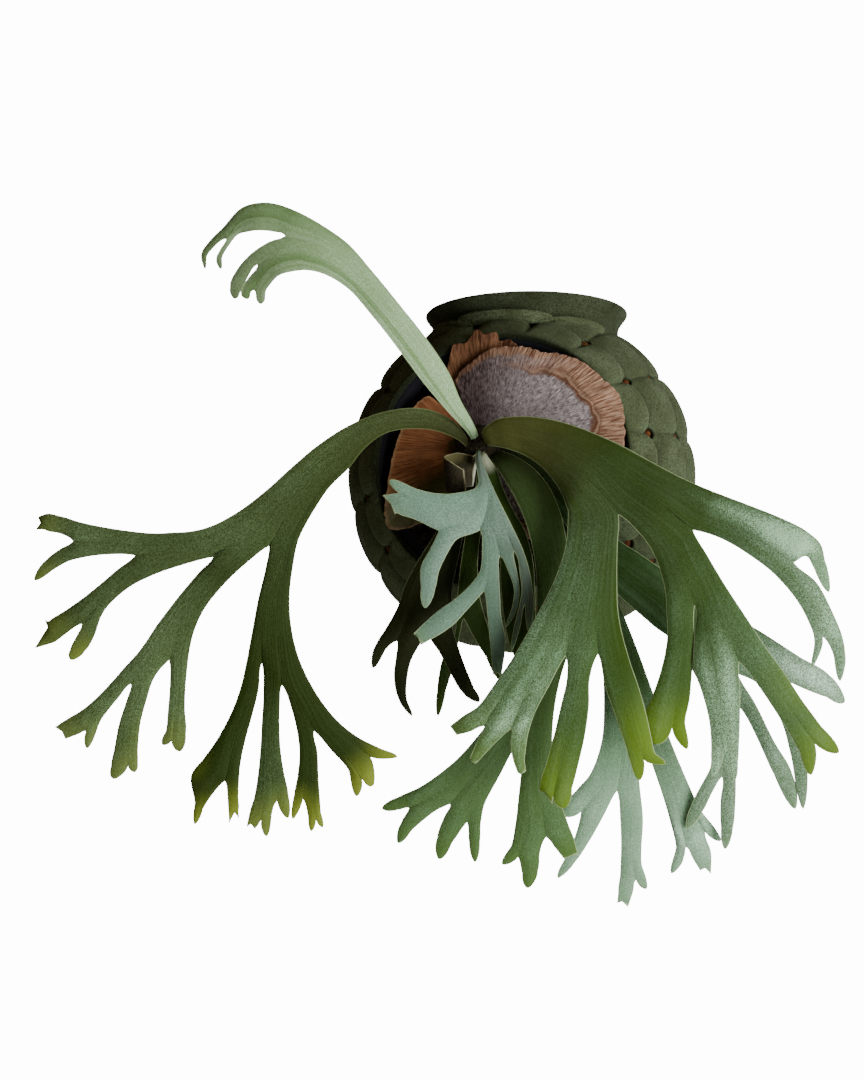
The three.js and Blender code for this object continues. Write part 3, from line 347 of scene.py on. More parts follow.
# Felt rings and back cap
# Thick green felt, cut into rings of rounded scales and stitched one behind the other from the round
# mouth to the back. Each ring laps over the next one, and a small hole is left where two scales of the
# ring behind meet under the lap.
RING_EDGES = [43.6, 55, 73, 91, 109, 127, 145, 163]  # degrees from the mouth's axis
SCALES = 16
HALF_SCALE = 25.0  # half the width of a scale where the globe is widest
FELT_THICKNESS = 4.6
FELT_INSIDE = 128.5
TUCKED_RADIUS = 133.7  # of the felt's outside under the ring in front
LIP_RADIUS = 138.6  # at the mouth
CROWN_RADIUS = 138.7  # at the top of a scale
EDGE_RADIUS = 137.4  # at its free edge
RISE = (0.6, 9.5)  # degrees behind the ring's start between which it rises to the crown
LIP_RISE = 7.0
EDGE_TURN = 5.0  # degrees over which the free edge turns down
SCALE_DROP = 3.0  # from the middle of a scale to its sides
SEAM_DEPTH = 1.4
SEAM_WIDTH = 1.3
LAP = 1.7  # degrees by which the middle of a scale passes the ring's edge
NOTCH = 4.4  # degrees by which the free edge draws back between scales
LIP_ROWS = np.array([0, 0.5, 1.5, 3.3])  # degrees behind the start of the ring at the mouth
HOLE_SPAN = (-1.4, 3.3)  # degrees behind the ring's start
HOLE_ROWS = np.array([-2.6, -2.0, HOLE_SPAN[0], -0.4, 0.5, 1.4, 2.4, HOLE_SPAN[1]])
HOLE_HALF_WIDTH = 4.6
HOLE_REACH = 12.0
LIP_CLEARANCE = 77.2
TONGUE_CLEARANCE = 76.4
TONGUE_LEAN = 0.45  # mm away from the collar for each mm of radius
TONGUE_RISE = 0.2  # mm up for each mm that a point is moved
COLUMN_PLACES = np.linspace(-1, 1, 15)[:-1]
COLUMN_PLACES = np.sign(COLUMN_PLACES) * (1 - (1 - np.abs(COLUMN_PLACES)) ** 1.55)  # closer at the seams
CAP_POLAR = np.array([160.6, 162, 164, 166, 168, 170.5, 173, 175.5, 178])[:, None]
CAP_EDGE_RADIUS = 133.8
CAP_BACK_RADIUS = 138.4
FELT_LIT = "#6B795D"
FELT_MID = "#515C40"
FELT_DEEP = "#3B4128"
# The next two colours are painted light: shade under the laps and in the seams, a highlight along the cut
# edges.
FELT_PAINTED_SHADE = "#0C0F07"
FELT_PAINTED_HIGHLIGHT = "#728060"
FELT_SHEEN = "#9DB49A"


def smooth(value, low, high):
    """0 below low, 1 above high, and a soft step between them."""
    share = np.clip((value - low) / (high - low), 0, 1)
    return share * share * (3 - 2 * share)


def soften(made, rounds):
    """Rounded edges, by dividing every face in four that many times."""
    soft = made.modifiers.new("soft edges", "SUBSURF")
    soft.levels = soft.render_levels = rounds


def clear_of_neck(points, radius, clearance):
    """Scales that would run into the collar stand up in front of it: a point nearer to the collar's axis
    than the limit is drawn out to it, and raised by a fifth of the way it moved."""
    side = points - GLOBE - [NECK_SIDE, 0, 0]
    flat = np.maximum(np.hypot(side[..., 0], side[..., 1]), 1e-6)
    limit = clearance + (radius - FELT_INSIDE) * TONGUE_LEAN
    near = (flat < limit) & (side[..., 2] > 0)
    x = NECK_SIDE + side[..., 0] * limit / flat
    y = side[..., 1] * limit / flat
    height = np.sqrt(np.maximum(radius ** 2 - x ** 2 - y ** 2, 1)) + TONGUE_RISE * (limit - flat)
    stood = GLOBE + np.stack([x, y, height], axis=-1)
    return np.where(near[..., None], stood, points)


def ring_radius(behind, edge, places, from_seam, first):
    """The radius of a ring's outside. It rises from under the ring in front to the crown, turns down a
    little at the free edge, and sinks towards the sides of a scale and again in the seam."""
    rise = smooth(behind, *RISE)
    side_share, seam_share = rise, rise
    radius = TUCKED_RADIUS + (CROWN_RADIUS - TUCKED_RADIUS) * rise
    if first:
        side_share, seam_share = rise * smooth(behind, 1.5, 7), smooth(behind, 1, 5)
        quarter = np.clip(behind / LIP_RISE, 0, 1) * np.pi / 2
        radius = LIP_RADIUS + (CROWN_RADIUS - LIP_RADIUS) * np.sin(quarter)
    radius -= (CROWN_RADIUS - EDGE_RADIUS) * smooth(behind, edge - EDGE_TURN, edge)
    radius -= SCALE_DROP * np.abs(places) ** 3 * side_share
    return radius - SEAM_DEPTH * np.exp(-(from_seam / SEAM_WIDTH) ** 2) * seam_share


def round_the_holes(behind, radius, polar, places, from_seam):
    """Which rows cross the holes, and by how many degrees a point is pushed away from its seam: by half
    the width of an oval hole at the seam, and less the farther it is from it."""
    span = (behind[:, 0] - HOLE_SPAN[0]) / (HOLE_SPAN[1] - HOLE_SPAN[0])
    width = HOLE_HALF_WIDTH * np.sin(np.pi * np.clip(span, 0, 1)) ** 0.7
    push = width[:, None] * np.clip(1 - from_seam / HOLE_REACH, 0, 1)[None, :]
    aside = np.degrees(push / (radius * np.sin(np.radians(polar)))) * np.where(places > 0, -1, 1)
    return (span > 0.01) & (span < 0.99), aside


def felt_shade(behind, edge, bow, from_seam, first):
    """Painted shade: how much darker the felt is painted under the ring in front, where its shadow
    falls, and along the seams, as shade with some dirt. Below 0 it is paler: a painted highlight along
    the cut edge."""
    bared = np.maximum(behind - LAP + NOTCH * bow, 0)
    under = np.exp(-behind / 0.8) if first else 0.55 * np.exp(-bared / 0.9) + 0.45 * np.exp(-bared / 3.4)
    in_seam = 0.4 * np.exp(-(from_seam / 0.8) ** 2)[None, :] * smooth(behind, -1, 1.5)
    return np.maximum(in_seam, under) - 0.45 * smooth(behind, edge - 1.0, edge - 0.2)


def felt_ring(name, node, start, end, order, clearance):
    """A ring of scales on a grid of degrees behind its start and degrees round the mouth. The free edge
    of a scale is half an ellipse, and where a hole opens the seam's points are doubled."""
    first = order == 1
    near, far_rows = (LIP_ROWS, 8) if first else (HOLE_ROWS, 12)
    far = 1 - (1 - np.linspace(0, 1, far_rows)[1:]) ** 1.5
    places = np.tile(COLUMN_PLACES, SCALES)
    turn = (np.repeat(np.arange(SCALES), len(COLUMN_PLACES)) + 1 + places / 2) * 360 / SCALES
    bow = 1 - np.sqrt(1 - np.clip(np.abs(places), 0, 0.999) ** 2.2)
    wobble = 0.35 * np.sin(turn * 0.11 + order * 2.1) + 0.25 * np.sin(turn * 0.37 + order)
    edge = end - start + LAP - NOTCH * bow + wobble * (1 - bow)
    behind = np.vstack([
        np.repeat(near[:, None], len(places), 1),
        near[-1] + (edge - near[-1])[None, :] * far[:, None],
    ])
    middle_polar = np.clip((start + end) / 2, 20, 160)
    from_seam = (1 - np.abs(places)) * HALF_SCALE * np.sin(np.radians(middle_polar))
    radius = ring_radius(behind, edge, places, from_seam, first)
    polar = start + behind
    crossing, aside = np.zeros(len(radius), bool), np.zeros_like(radius)
    if not first:
        crossing, aside = round_the_holes(behind, radius, polar, places, from_seam)
    right = on_globe(radius, polar, turn + aside)
    left = on_globe(radius, polar, turn - aside)
    if clearance:
        right = clear_of_neck(right, radius, clearance)
        left = clear_of_neck(left, radius, clearance)
    seam = np.arange(len(places)) % len(COLUMN_PLACES) == 0
    doubled = np.flatnonzero((crossing[:, None] & seam[None, :]).ravel())
    ids = numbered(right)
    left_ids = ids.copy()
    left_ids.reshape(-1)[doubled] = ids.size + np.arange(len(doubled))
    points = np.vstack([right.reshape(-1, 3), left.reshape(-1, 3)[doubled]])
    shade = felt_shade(behind, edge, bow, from_seam, first).ravel()
    shade = np.append(shade, shade[doubled])
    following = np.roll(left_ids, -1, axis=1)
    faces = np.stack([ids[:-1], following[:-1], following[1:], ids[1:]], axis=-1).reshape(-1, 4).tolist()
    if not clearance:
        points, faces, used = cut_for_neck(points, faces)
        shade = shade[used]
    made = piece(name, points, looking_out(points, faces), felt, replaces=[node],
                 values={"painted_shade_and_highlight": shade})
    thicken(made, FELT_THICKNESS)
    soften(made, 1)


# Thick pressed felt, cut to shape: no thread shows, only a soft matt green with fluff. It is painted
# near black as shade under the ring in front, and in the seams as shade with some dirt, painted darker
# as shade over the whole cuff, and painted paler along a cut edge as a highlight. The fluff is drawn
# 1.1 mm wide, coarser than real fibres, so that it shows.
felt, felt_shader = matt_material("thick green felt", 0.96, specular=0.05)
fluff = grain(felt, 1.1, 3, 0.75, contrast=(0.3, 0.6))
cloud = grain(felt, 24, 1, contrast=(0.2, 0.8))
painted_shade_and_highlight = add(felt, "Attribute", output="Fac", attribute_name="painted_shade_and_highlight")
# The numbers each point carries paint shade and highlight: near black under the laps, in the seams and over
# the whole cuff, paler along the cut edges.
painted_shade_share, painted_highlight_share = (
    add(felt, "Math", {0: painted_shade_and_highlight, 1: strength}, operation="MULTIPLY", use_clamp=True)
    for strength in (0.85, -1.1))
felt_ground = coats(felt, FELT_DEEP, (fluff, coats(felt, FELT_MID, (cloud, FELT_LIT))))
fill(felt, felt_shader, {
    "Base Color": coats(felt, felt_ground, (painted_shade_share, FELT_PAINTED_SHADE), (painted_highlight_share, FELT_PAINTED_HIGHLIGHT)),
    "Normal": relief(felt, (fluff, 0.5), (grain(felt, 0.9, 3, 0.7), 0.5)),
    "Sheen Weight": 0.08, "Sheen Tint": FELT_SHEEN,
})

for order, (start, end) in enumerate(zip(RING_EDGES[:-1], RING_EDGES[1:]), start=1):
    node_name = "felt_ring_1_mouth" if order == 1 else f"felt_ring_{order}"
    stands = {1: LIP_CLEARANCE, 2: TONGUE_CLEARANCE}.get(order)
    felt_ring(f"felt_scales_{order}", node_name, start, end, order, stands)

cap_radius = CAP_EDGE_RADIUS + (CAP_BACK_RADIUS - CAP_EDGE_RADIUS) * smooth(CAP_POLAR, 163, 170)
cap_grid = on_globe(cap_radius, CAP_POLAR, np.arange(0, 360, 5.0)[None, :])
cap_ids = numbered(cap_grid)
cap_points = np.vstack([cap_grid.reshape(-1, 3), GLOBE + [0, CAP_BACK_RADIUS, 0]])
cap_faces = looking_out(cap_points, woven(cap_ids, closed=True).tolist() + fan(cap_ids.size, cap_ids[-1]))
cap = piece("felt_cap", cap_points, cap_faces, felt, replaces=["felt_back_cap"])
thicken(cap, FELT_THICKNESS)
soften(cap, 1)


# Tufts of coir
# Where four scales meet, the coconut fibre of the lining bulges into the small hole between them. A
# tuft is nothing but fibre, held by the felt all round.
TUFT_MIDDLE_RADIUS = 129.8
TUFT_SIZE = (3.4, 3.9, 4.4)  # half sizes: away from the globe's middle, along the ring, across it
TUFT_BEHIND = 0.9  # degrees from a ring's edge to the middle of its holes
TUFT_CLEARANCE = 84  # from the collar's axis, where the felt leaves no holes
TUFT_ROUGHNESS = 0.16  # of its size
tuft_polar = np.radians(np.linspace(10, 170, 7))[:, None]
tuft_turn = np.radians(np.arange(0, 360, 36))[None, :]
tuft_grid = np.stack([
    np.cos(tuft_polar) + 0 * tuft_turn,
    np.sin(tuft_polar) * np.cos(tuft_turn),
    np.sin(tuft_polar) * np.sin(tuft_turn),
], axis=-1)
tuft_ids = numbered(tuft_grid)
tuft_ball = tuft_grid.reshape(-1, 3)
tuft_skin = woven(tuft_ids, closed=True).tolist() + [tuft_ids[0, ::-1].tolist(), tuft_ids[-1].tolist()]
tuft_points, tuft_faces = [], []
for ring_edge in RING_EDGES[1:-1]:
    for seam_turn in (np.arange(SCALES) + 0.5) * 360 / SCALES:
        middle = on_globe(TUFT_MIDDLE_RADIUS, ring_edge + TUFT_BEHIND, seam_turn)
        side = middle - GLOBE - [NECK_SIDE, 0, 0]
        if np.hypot(side[0], side[1]) < TUFT_CLEARANCE and side[2] > 0:
            continue
        out = (middle - GLOBE) / np.linalg.norm(middle - GLOBE)
        along = np.array([np.cos(np.radians(seam_turn)), 0, -np.sin(np.radians(seam_turn))])
        uneven = 1 + TUFT_ROUGHNESS * bumps(tuft_ball * 4 + middle, 3, 8)
        first_number = len(tuft_points) * len(tuft_ball)
        ways = np.stack([out, along, np.cross(out, along)])
        tuft_points.append(middle + tuft_ball * TUFT_SIZE * uneven[:, None] @ ways)
        tuft_faces += [[corner + first_number for corner in face] for face in tuft_skin]
piece("coir_tufts", np.vstack(tuft_points), turned_out(np.vstack(tuft_points), tuft_faces), coir)


# Felt collar
# A stiff cuff of the same felt stands in the neck of the globe, behind the front scales, and flares to
# a rounded rim. The basket hangs by it.
COLLAR_PROFILE = [  # mm from the collar's axis, and below the rim
    (67.2, -37.9), (73.2, -38), (73.2, -15), (74.8, -11), (77.4, -7), (81.4, -2.4), (81, -0.4),
    (76.8, 0), (74.2, -0.3), (73, -4.5), (69.4, -6.6), (67.2, -12),
]
COLLAR_SWAY = 0.002  # of its radius
# Painted shade: the whole cuff hangs in shade, so its felt is painted darker all over.
CUFF_SHADE = 0.6  # the cuff is as dark as the felt in a shallow crease


def carried_round(profile, turn):
    """A closed profile carried round the upright axis, its radius waving a little on the way round."""
    profile = np.array(profile, float)
    turn = np.radians(turn)[:, None]
    radius = profile[None, :, 0] * (1 + COLLAR_SWAY * np.sin(2 * turn + 0.6))
    height = profile[None, :, 1] + 0 * turn
    grid = np.stack([radius * np.cos(turn), radius * np.sin(turn), height], axis=-1)
    ids = numbered(grid)
    points = grid.reshape(-1, 3)
    return points, turned_out(points, woven(np.vstack([ids, ids[:1]]), closed=True).tolist())


collar_points, collar_faces = carried_round(COLLAR_PROFILE, np.arange(0, 360, 4.0))
collar = piece("felt_cuff", collar_points, collar_faces, felt, replaces=["felt_collar"],
               values={"painted_shade_and_highlight": np.full(len(collar_points), CUFF_SHADE)})
soften(collar, 2)


# Rhizome
# The short brown bud of the fern, covered in chaffy scales, from which every frond springs. It sits on
# the growing medium in the mouth, and the feet of all the fronds are rooted in it.
EYE_DISTANCE = 1300.0  # mm from the middle of the globe
STEP = 0.8  # mm in one step of the drawing board
BOARD_MIDDLE = (432.0, 540.0)
GLOBE_ON_BOARD = (71.2, 48.0)
BOARD_TURN, BOARD_TILT = np.radians(12), np.radians(-6)
RIGHT = np.array([np.cos(BOARD_TURN), np.sin(BOARD_TURN), 0.0])
FRONT = np.array([
    np.sin(BOARD_TURN) * np.cos(BOARD_TILT), -np.cos(BOARD_TURN) * np.cos(BOARD_TILT), np.sin(BOARD_TILT),
])
UP = np.cross(FRONT, RIGHT)
BUD = (481.0, 449.0)
BUD_DEPTH = 93.0
BUD_RADIUS = 19.6
BUD_SUNK = 1.2  # from the outside of the highest scales to their foot
BUD_SCALES = [(5, 1.1, 4), (2.2, 0.5, 5)]  # width, height and seed of the large and the small ones
# The bud's browns are painted near black as shade, since the stalks crowd over it.
BUD_BROWN_IN_PAINTED_SHADE = "#15120A"
BUD_PALE = "#302A16"


def on_board(x, y, depth):
    """Points of the drawing board that the fern is laid out on, seen from one eye point. Depth is in mm
    from the middle of the globe towards the eye, and a nearer point is drawn closer to the middle."""
    x, y, depth = (np.asarray(v, float) for v in (x, y, depth))
    nearer = 1 - depth / EYE_DISTANCE
    across = (x - BOARD_MIDDLE[0]) * STEP * nearer - GLOBE_ON_BOARD[0]
    rise = (BOARD_MIDDLE[1] - y) * STEP * nearer - GLOBE_ON_BOARD[1]
    return GLOBE + across[..., None] * RIGHT + rise[..., None] * UP + depth[..., None] * FRONT


bud_middle = on_board(*BUD, BUD_DEPTH)
bud_grid = ball_way(np.linspace(4, 176, 44)[:, None], np.arange(0, 360, 6.0)[None, :])
bud_ids = numbered(bud_grid)
bud_way = bud_grid.reshape(-1, 3)
bud_size = BUD_RADIUS - BUD_SUNK + lumps(bud_way * BUD_RADIUS, BUD_SCALES)
bud_points = np.vstack([
    bud_middle + bud_way * bud_size[:, None],
    bud_middle - [0, BUD_RADIUS - 1, 0],
    bud_middle + [0, BUD_RADIUS - 1, 0],
])
bud_faces = woven(bud_ids, closed=True).tolist()
bud_faces += fan(bud_ids.size, bud_ids[0, ::-1]) + fan(bud_ids.size + 1, bud_ids[-1])

# Dry papery scales that lie over each other: dull brown with paler flecks, painted near black as shade.
chaff, chaff_shader = matt_material("brown bud scales", 0.85)
flakes = grain(chaff, 2.2, 2, contrast=(0.35, 0.65))
fill(chaff, chaff_shader, {
    "Base Color": coats(chaff, BUD_BROWN_IN_PAINTED_SHADE, (flakes, BUD_PALE)), "Normal": relief(chaff, (flakes, 0.8)),
})
piece("bud", bud_points, turned_out(bud_points, bud_faces), chaff, replaces=["rhizome"])


# Shield fronds
# Dry round leaves that clasp the basket's mouth: a large one felted with lilac-grey hairs inside a
# brown papery margin, a taller brown one behind it, and a brown one with an olive foot at the left.
SHIELD_FOOT = 22.0  # steps from the bud's middle
SHIELD_ROUND = [
    (455, 381, 105), (461, 371, 105.5), (473, 361, 106), (486, 351, 106.5), (500, 347, 107),
    (514, 346.5, 107), (528, 347.5, 107), (543, 352, 107), (557, 353.5, 107), (572, 357, 107),
    (589, 366, 107), (604, 380, 107), (617, 392, 106.5), (623, 410, 105.5), (624.5, 430, 104),
    (623, 452, 102.5), (617, 478, 100), (603, 503, 98), (583, 523, 97), (560, 535, 97),
    (535, 540, 97), (512, 531, 97), (497, 512, 97), (487, 490, 97.5),
]
SHIELD_BACK = [
    (441, 392, 99.5), (446, 377, 101), (449, 360, 101), (453, 345.5, 101.5), (466, 343, 101.5),
    (476, 329.5, 102.5), (484, 334, 102.5), (496, 332.5, 102.5), (500, 341, 101.5), (510, 340, 101.5),
    (520, 349, 101.5), (528, 362, 101.5), (531, 380, 101.5),
]
SHIELD_LEFT = [
    (452, 517, 99), (436, 519, 99.5), (420, 524, 100.5), (403, 529.5, 101.5), (388, 527, 102.5),
    (384, 509, 102.5), (386.5, 492, 102.5), (391, 462, 101.5), (399, 436, 101), (406, 416, 101),
    (415, 405, 101), (427, 396.5, 101), (435, 400, 100), (443.5, 406.5, 99), (452, 413, 98),
]
SHIELD_ROWS = 42
SHIELD_MIDDLE_THICKNESS = 1.8
SHIELD_EDGE_THICKNESS = 0.7
RAG_WIDTH = 3.2
RAG_LENGTH = 0.009  # of the way from the bud to the margin
PLEATS = [(7, 1.5, 5), (2.4, 0.28, 3)]  # width, height, and the power by which they grow to the margin
COCKLE_WIDTH = 6
COCKLE_HEIGHT = 0.35
BULGE_CLEAR = (100, 107)  # a margin this high lets the frond bulge: not at all, and fully
STREAK_RADIUS = 60  # distance from the bud at which the streaks have their real width
LILAC_DARK = "#6A5C5E"
LILAC = "#A0959A"
SHADED_WORN_BROWN = "#2E201C"
HAIR_HIGHLIGHT_WHITE = "#D8D2D6"
PAPER_BROWN = "#76503A"
PAPER_PALE = "#BE9C86"
PAPER_DARK = "#3E2414"
RIM_SHADE = "#6A4634"
RIM_RIDGE_HIGHLIGHT = "#D9BCA4"
OLIVE_FOOT = "#434416"
OLIVE_RIM = "#66654A"
LEFT_BROWN = "#7A4A2B"
LEFT_TAN = "#A26E4A"
LEFT_RIM = "#A58A68"
RUSSET = "#735034"


def curve_through(points, steps):
    """A smooth line through the points, `steps` stretches to each: every stretch leaves a point in the
    direction from the one before it to the one after it."""
    points = np.array(points, float)
    line = np.vstack([2 * points[0] - points[1], points, 2 * points[-1] - points[-2]])
    share = np.arange(steps)[:, None] / steps
    made = []
    for before, a, b, after in zip(line[:-3], line[1:-2], line[2:-1], line[3:]):
        made.append(a + 0.5 * share * (b - before + share * (
            2 * before - 5 * a + 4 * b - after + share * (3 * (a - b) + after - before))))
    return np.vstack(made + [points[-1:]])


def on_mouth(x, y, height):
    """Points behind board places that lie a height in mm in front of the globe's middle."""
    far, near = on_board(x, y, 0 * x), on_board(x, y, 0 * x + 100)
    depth = 100 * (-height - far[..., 1]) / (near[..., 1] - far[..., 1])
    return on_board(x, y, depth)


def sheet_normals(points, faces):
    """The direction each point of a sheet faces: the sum of its faces' directions, larger faces more."""
    faces = np.asarray(faces)
    normal = np.cross(points[faces[:, 2]] - points[faces[:, 0]], points[faces[:, 3]] - points[faces[:, 1]])
    total = np.zeros_like(points)
    for corner in range(4):
        np.add.at(total, faces[:, corner], normal)
    return total / np.maximum(np.linalg.norm(total, axis=1), 1e-9)[:, None]


def without_repeats(faces):
    """The faces as lists, with a corner that is named twice in a row named once."""
    tidy = []
    for face in np.asarray(faces).tolist():
        corners = [c for i, c in enumerate(face) if c != face[i - 1]]
        if len(corners) > 2:
            tidy.append(corners)
    return tidy


def leaf_solid(points, faces, half):
    """A leaf's two skins, each half its thickness from the middle sheet, joined by a rim along every
    open edge. Faces are four-cornered, and a pointed one names a corner twice."""
    faces = np.asarray(faces)
    normal = sheet_normals(points, faces)
    if np.sum(normal @ FRONT) < 0:
        faces, normal = faces[:, ::-1], -normal
    count = len(points)
    skins = np.vstack([points + normal * half[:, None], points - normal * half[:, None]])
    sides = np.vstack([faces[:, [i, (i + 1) % 4]] for i in range(4)])
    sides = sides[sides[:, 0] != sides[:, 1]]
    known = {(a, b) for a, b in sides.tolist()}
    rim = [[b, a, a + count, b + count] for a, b in sides.tolist() if (b, a) not in known]
    solid = without_repeats(faces) + without_repeats(faces[:, ::-1] + count) + rim
    return skins, turned_out(skins, solid)


def shield(name, margin, heart, crown, node, material, fold, seed, first_angle=-180):
    """A shield frond: a sheet from a foot round the bud to its margin, with a bulge half way, fine
    pleats that fan out from the bud and grow towards the margin, and a crinkled edge. The angles that
    its material reads start at `first_angle`, in degrees, so that they don't jump inside the frond."""
    x, y, edge = curve_through(margin, 9).T
    reach = np.hypot(x - BUD[0], y - BUD[1])
    ring = 1 - (1 - np.linspace(0, 1, SHIELD_ROWS)[:, None]) ** 1.25
    share = SHIELD_FOOT / reach[None, :] + (1 - SHIELD_FOOT / reach[None, :]) * ring
    arc = np.concatenate([[0], np.cumsum(np.hypot(np.diff(x), np.diff(y)))]) * STEP
    along = np.stack([arc, 0 * arc, 0 * arc], axis=-1)
    ragged = 1 + RAG_LENGTH * bumps(along, RAG_WIDTH, seed) * ring ** 8
    place_x = BUD[0] + (x - BUD[0]) * share * ragged
    place_y = BUD[1] + (y - BUD[1]) * share * ragged
    clear = smooth(edge, *BULGE_CLEAR) if crown > 2 else 1.0
    height = heart + (edge - heart) * share + crown * clear * np.sin(share * np.pi)
    for number, (width, rise, power) in enumerate(PLEATS, start=1):
        height = height + fold * rise * bumps(along, width, seed + number) * ring ** power
    flat = on_mouth(place_x, place_y, height)
    height += COCKLE_HEIGHT * bumps(flat.reshape(-1, 3), COCKLE_WIDTH, seed).reshape(height.shape)
    points = on_mouth(place_x, place_y, height)
    thickness = SHIELD_EDGE_THICKNESS + (SHIELD_MIDDLE_THICKNESS - SHIELD_EDGE_THICKNESS) * (1 - ring ** 3)
    half = np.repeat(thickness / 2, len(x))
    skins, faces = leaf_solid(points.reshape(-1, 3), woven(numbered(points)), half)
    angle = np.arctan2(y - BUD[1], x - BUD[0])[None, :]

    def on_both(grid):
        """A value for each point of the grid, on both skins."""
        return np.tile(np.broadcast_to(grid, share.shape).ravel(), 2)

    uv = np.stack([on_both(angle * STREAK_RADIUS), on_both(share * reach[None, :] * STEP)], axis=-1)
    values = {"angle": on_both((np.degrees(angle) - first_angle) % 360 + first_angle), "ring": on_both(ring)}
    piece(name, skins, faces, material, replaces=[node], values=values, uv=uv)


def combed(material, width, length, detail=2.0, contrast=None, seed=0.0):
    """Streaks `width` mm wide and `length` mm long that follow the leaf from its foot."""
    along = add(material, "Mapping", {
        "Vector": add(material, "UVMap", output="UV", uv_map="surface"),
        "Scale": (1 / width, 1 / length, 1), "Location": (seed, seed * 0.7, 0),
    })
    noise = add(material, "TexNoise", {"Vector": along, "Scale": 1.0, "Detail": detail}, "Fac")
    return stepped(material, noise, *contrast) if contrast else noise


def carried(material, *labels):
    """The numbers that a piece's points carry under those labels."""
    return [add(material, "Attribute", output="Fac", attribute_name=label) for label in labels]


# A dead leaf dried to paper: brown, dull and streaked from the foot, with russet blots.
paper, paper_shader = matt_material("dry papery shield frond", 0.8, specular=0.25)
[paper_ring] = carried(paper, "ring")
paper_grain = combed(paper, 1.6, 9, 3, (0.3, 0.7))
paper_blots = grain(paper, 9, 3, contrast=(0.3, 0.7))
paper_colour = coats(
    paper, PAPER_DARK, (paper_grain, PAPER_BROWN), (product(paper, paper_blots, 0.75), RUSSET),
    (stepped(paper, paper_ring, 0.45, 0.0), PAPER_DARK))
fill(paper, paper_shader, {"Base Color": paper_colour, "Normal": relief(paper, (paper_grain, 0.6))})

# A dead leaf felted with hairs that all lie outwards: lilac-grey and soft, with bare pleated paper along
# the margin. Its light and shade are painted by the angle round the bud: a painted highlight where the
# light rakes the hairs on the lit right side, and painted shade that turns the upper left side dark lilac
# and brown, patchy where the hairs are worn off. There the margin's paper is painted darker too, and on
# the lit side the margin has a painted shade band with a painted highlight along a ridge. The hairs are
# drawn 0.45 mm wide, coarser than they are, so that they show. The numbers of its rim are shares of the
# way from the foot to the margin.
felted, felted_shader = matt_material("shield frond felted with pale hairs", 0.85, specular=0.1)
felted_angle, felted_ring = carried(felted, "angle", "ring")
hairs = combed(felted, 0.45, 3.6, 3, (0.4, 0.7))
worn = combed(felted, 1.8, 5, 3, (0.3, 0.72), 5)
mats = grain(felted, 3.2, 3, 0.6, contrast=(0.3, 0.7))
pleats = combed(felted, 0.8, 12, 2, (0.3, 0.7), 9)
# Painted light and shade by the angle round the bud: lit on the right, in shade at the upper left.
lit_side = stepped(felted, felted_angle, -98, -38)
side_share = stepped(felted, felted_angle, -85, -35)
lilac = coats(felted, coats(felted, SHADED_WORN_BROWN, (worn, LILAC_DARK)),
              (lit_side, coats(felted, LILAC_DARK, (mats, LILAC))))
thickest = add(felted, "Math", {0: hairs, 1: mats}, operation="MAXIMUM")
raked = add(felted, "Math", {0: lit_side, 1: 0.7, 2: 0.06}, operation="MULTIPLY_ADD")
# Painted highlight where the light rakes the thickest hairs.
lilac = coats(felted, lilac, (product(felted, thickest, raked, hairs), HAIR_HIGHLIGHT_WHITE))
rim_paper = coats(felted, PAPER_BROWN, (pleats, PAPER_PALE))
# Painted shade: the margin's paper is darker on the shaded side.
rim_paper = coats(felted, coats(felted, rim_paper, (0.5, PAPER_DARK)), (lit_side, rim_paper))
wander = add(felted, "Math", {0: grain(felted, 14, 2), 1: 0.2, 2: -0.1}, operation="MULTIPLY_ADD")
near_rim = add(felted, "Math", {0: felted_ring, 1: wander}, operation="ADD")
side_band = product(felted, stepped(felted, near_rim, 0.72, 0.77), side_share)
top_band = stepped(felted, near_rim, 0.86, 0.96)
band = add(felted, "Math", {0: side_band, 1: top_band}, operation="MAXIMUM")
# On the lit side, a painted shade band and a painted highlight along a ridge of the margin.
rim_shade = product(
    felted, stepped(felted, near_rim, 0.7, 0.76), stepped(felted, near_rim, 0.86, 0.77), side_share)
rim_ridge_highlight = product(
    felted, stepped(felted, near_rim, 0.758, 0.778), stepped(felted, near_rim, 0.806, 0.784),
    side_share, 0.34)
fill(felted, felted_shader, {
    "Base Color": coats(felted, lilac, (band, rim_paper), (rim_shade, RIM_SHADE), (rim_ridge_highlight, RIM_RIDGE_HIGHLIGHT)),
    "Normal": relief(felted, (pleats, 0.35), (hairs, 0.25)),
})

# A dead leaf that is still olive at its foot and along its lower side: brown, a little glossier, with
# long fine veins and a pale line at its rim.
olive_paper, olive_shader = matt_material("brown shield frond with an olive foot", 0.75, specular=0.2)
olive_angle, olive_ring = carried(olive_paper, "angle", "ring")
olive_grain = combed(olive_paper, 0.9, 26, 2, (0.3, 0.7), 3)
olive_blots = grain(olive_paper, 8, 3, contrast=(0.35, 0.7))
low_share = stepped(olive_paper, olive_angle, 162, 141)
foot_wander = add(olive_paper, "Math", {0: olive_blots, 1: 0.15, 2: olive_ring}, operation="MULTIPLY_ADD")
foot_share = stepped(olive_paper, foot_wander, 0.3, 0.1)
olive_share = add(olive_paper, "Math", {0: low_share, 1: foot_share}, operation="MAXIMUM")
olive = coats(olive_paper, OLIVE_FOOT, (stepped(olive_paper, olive_ring, 0.5, 0.95), OLIVE_RIM))
left_rim_share = product(olive_paper, stepped(olive_paper, olive_ring, 0.94, 0.985), 0.5)
olive_colour = coats(
    olive_paper, LEFT_BROWN, (olive_grain, LEFT_TAN), (product(olive_paper, olive_blots, 0.22), PAPER_DARK),
    (olive_share, olive), (left_rim_share, LEFT_RIM))
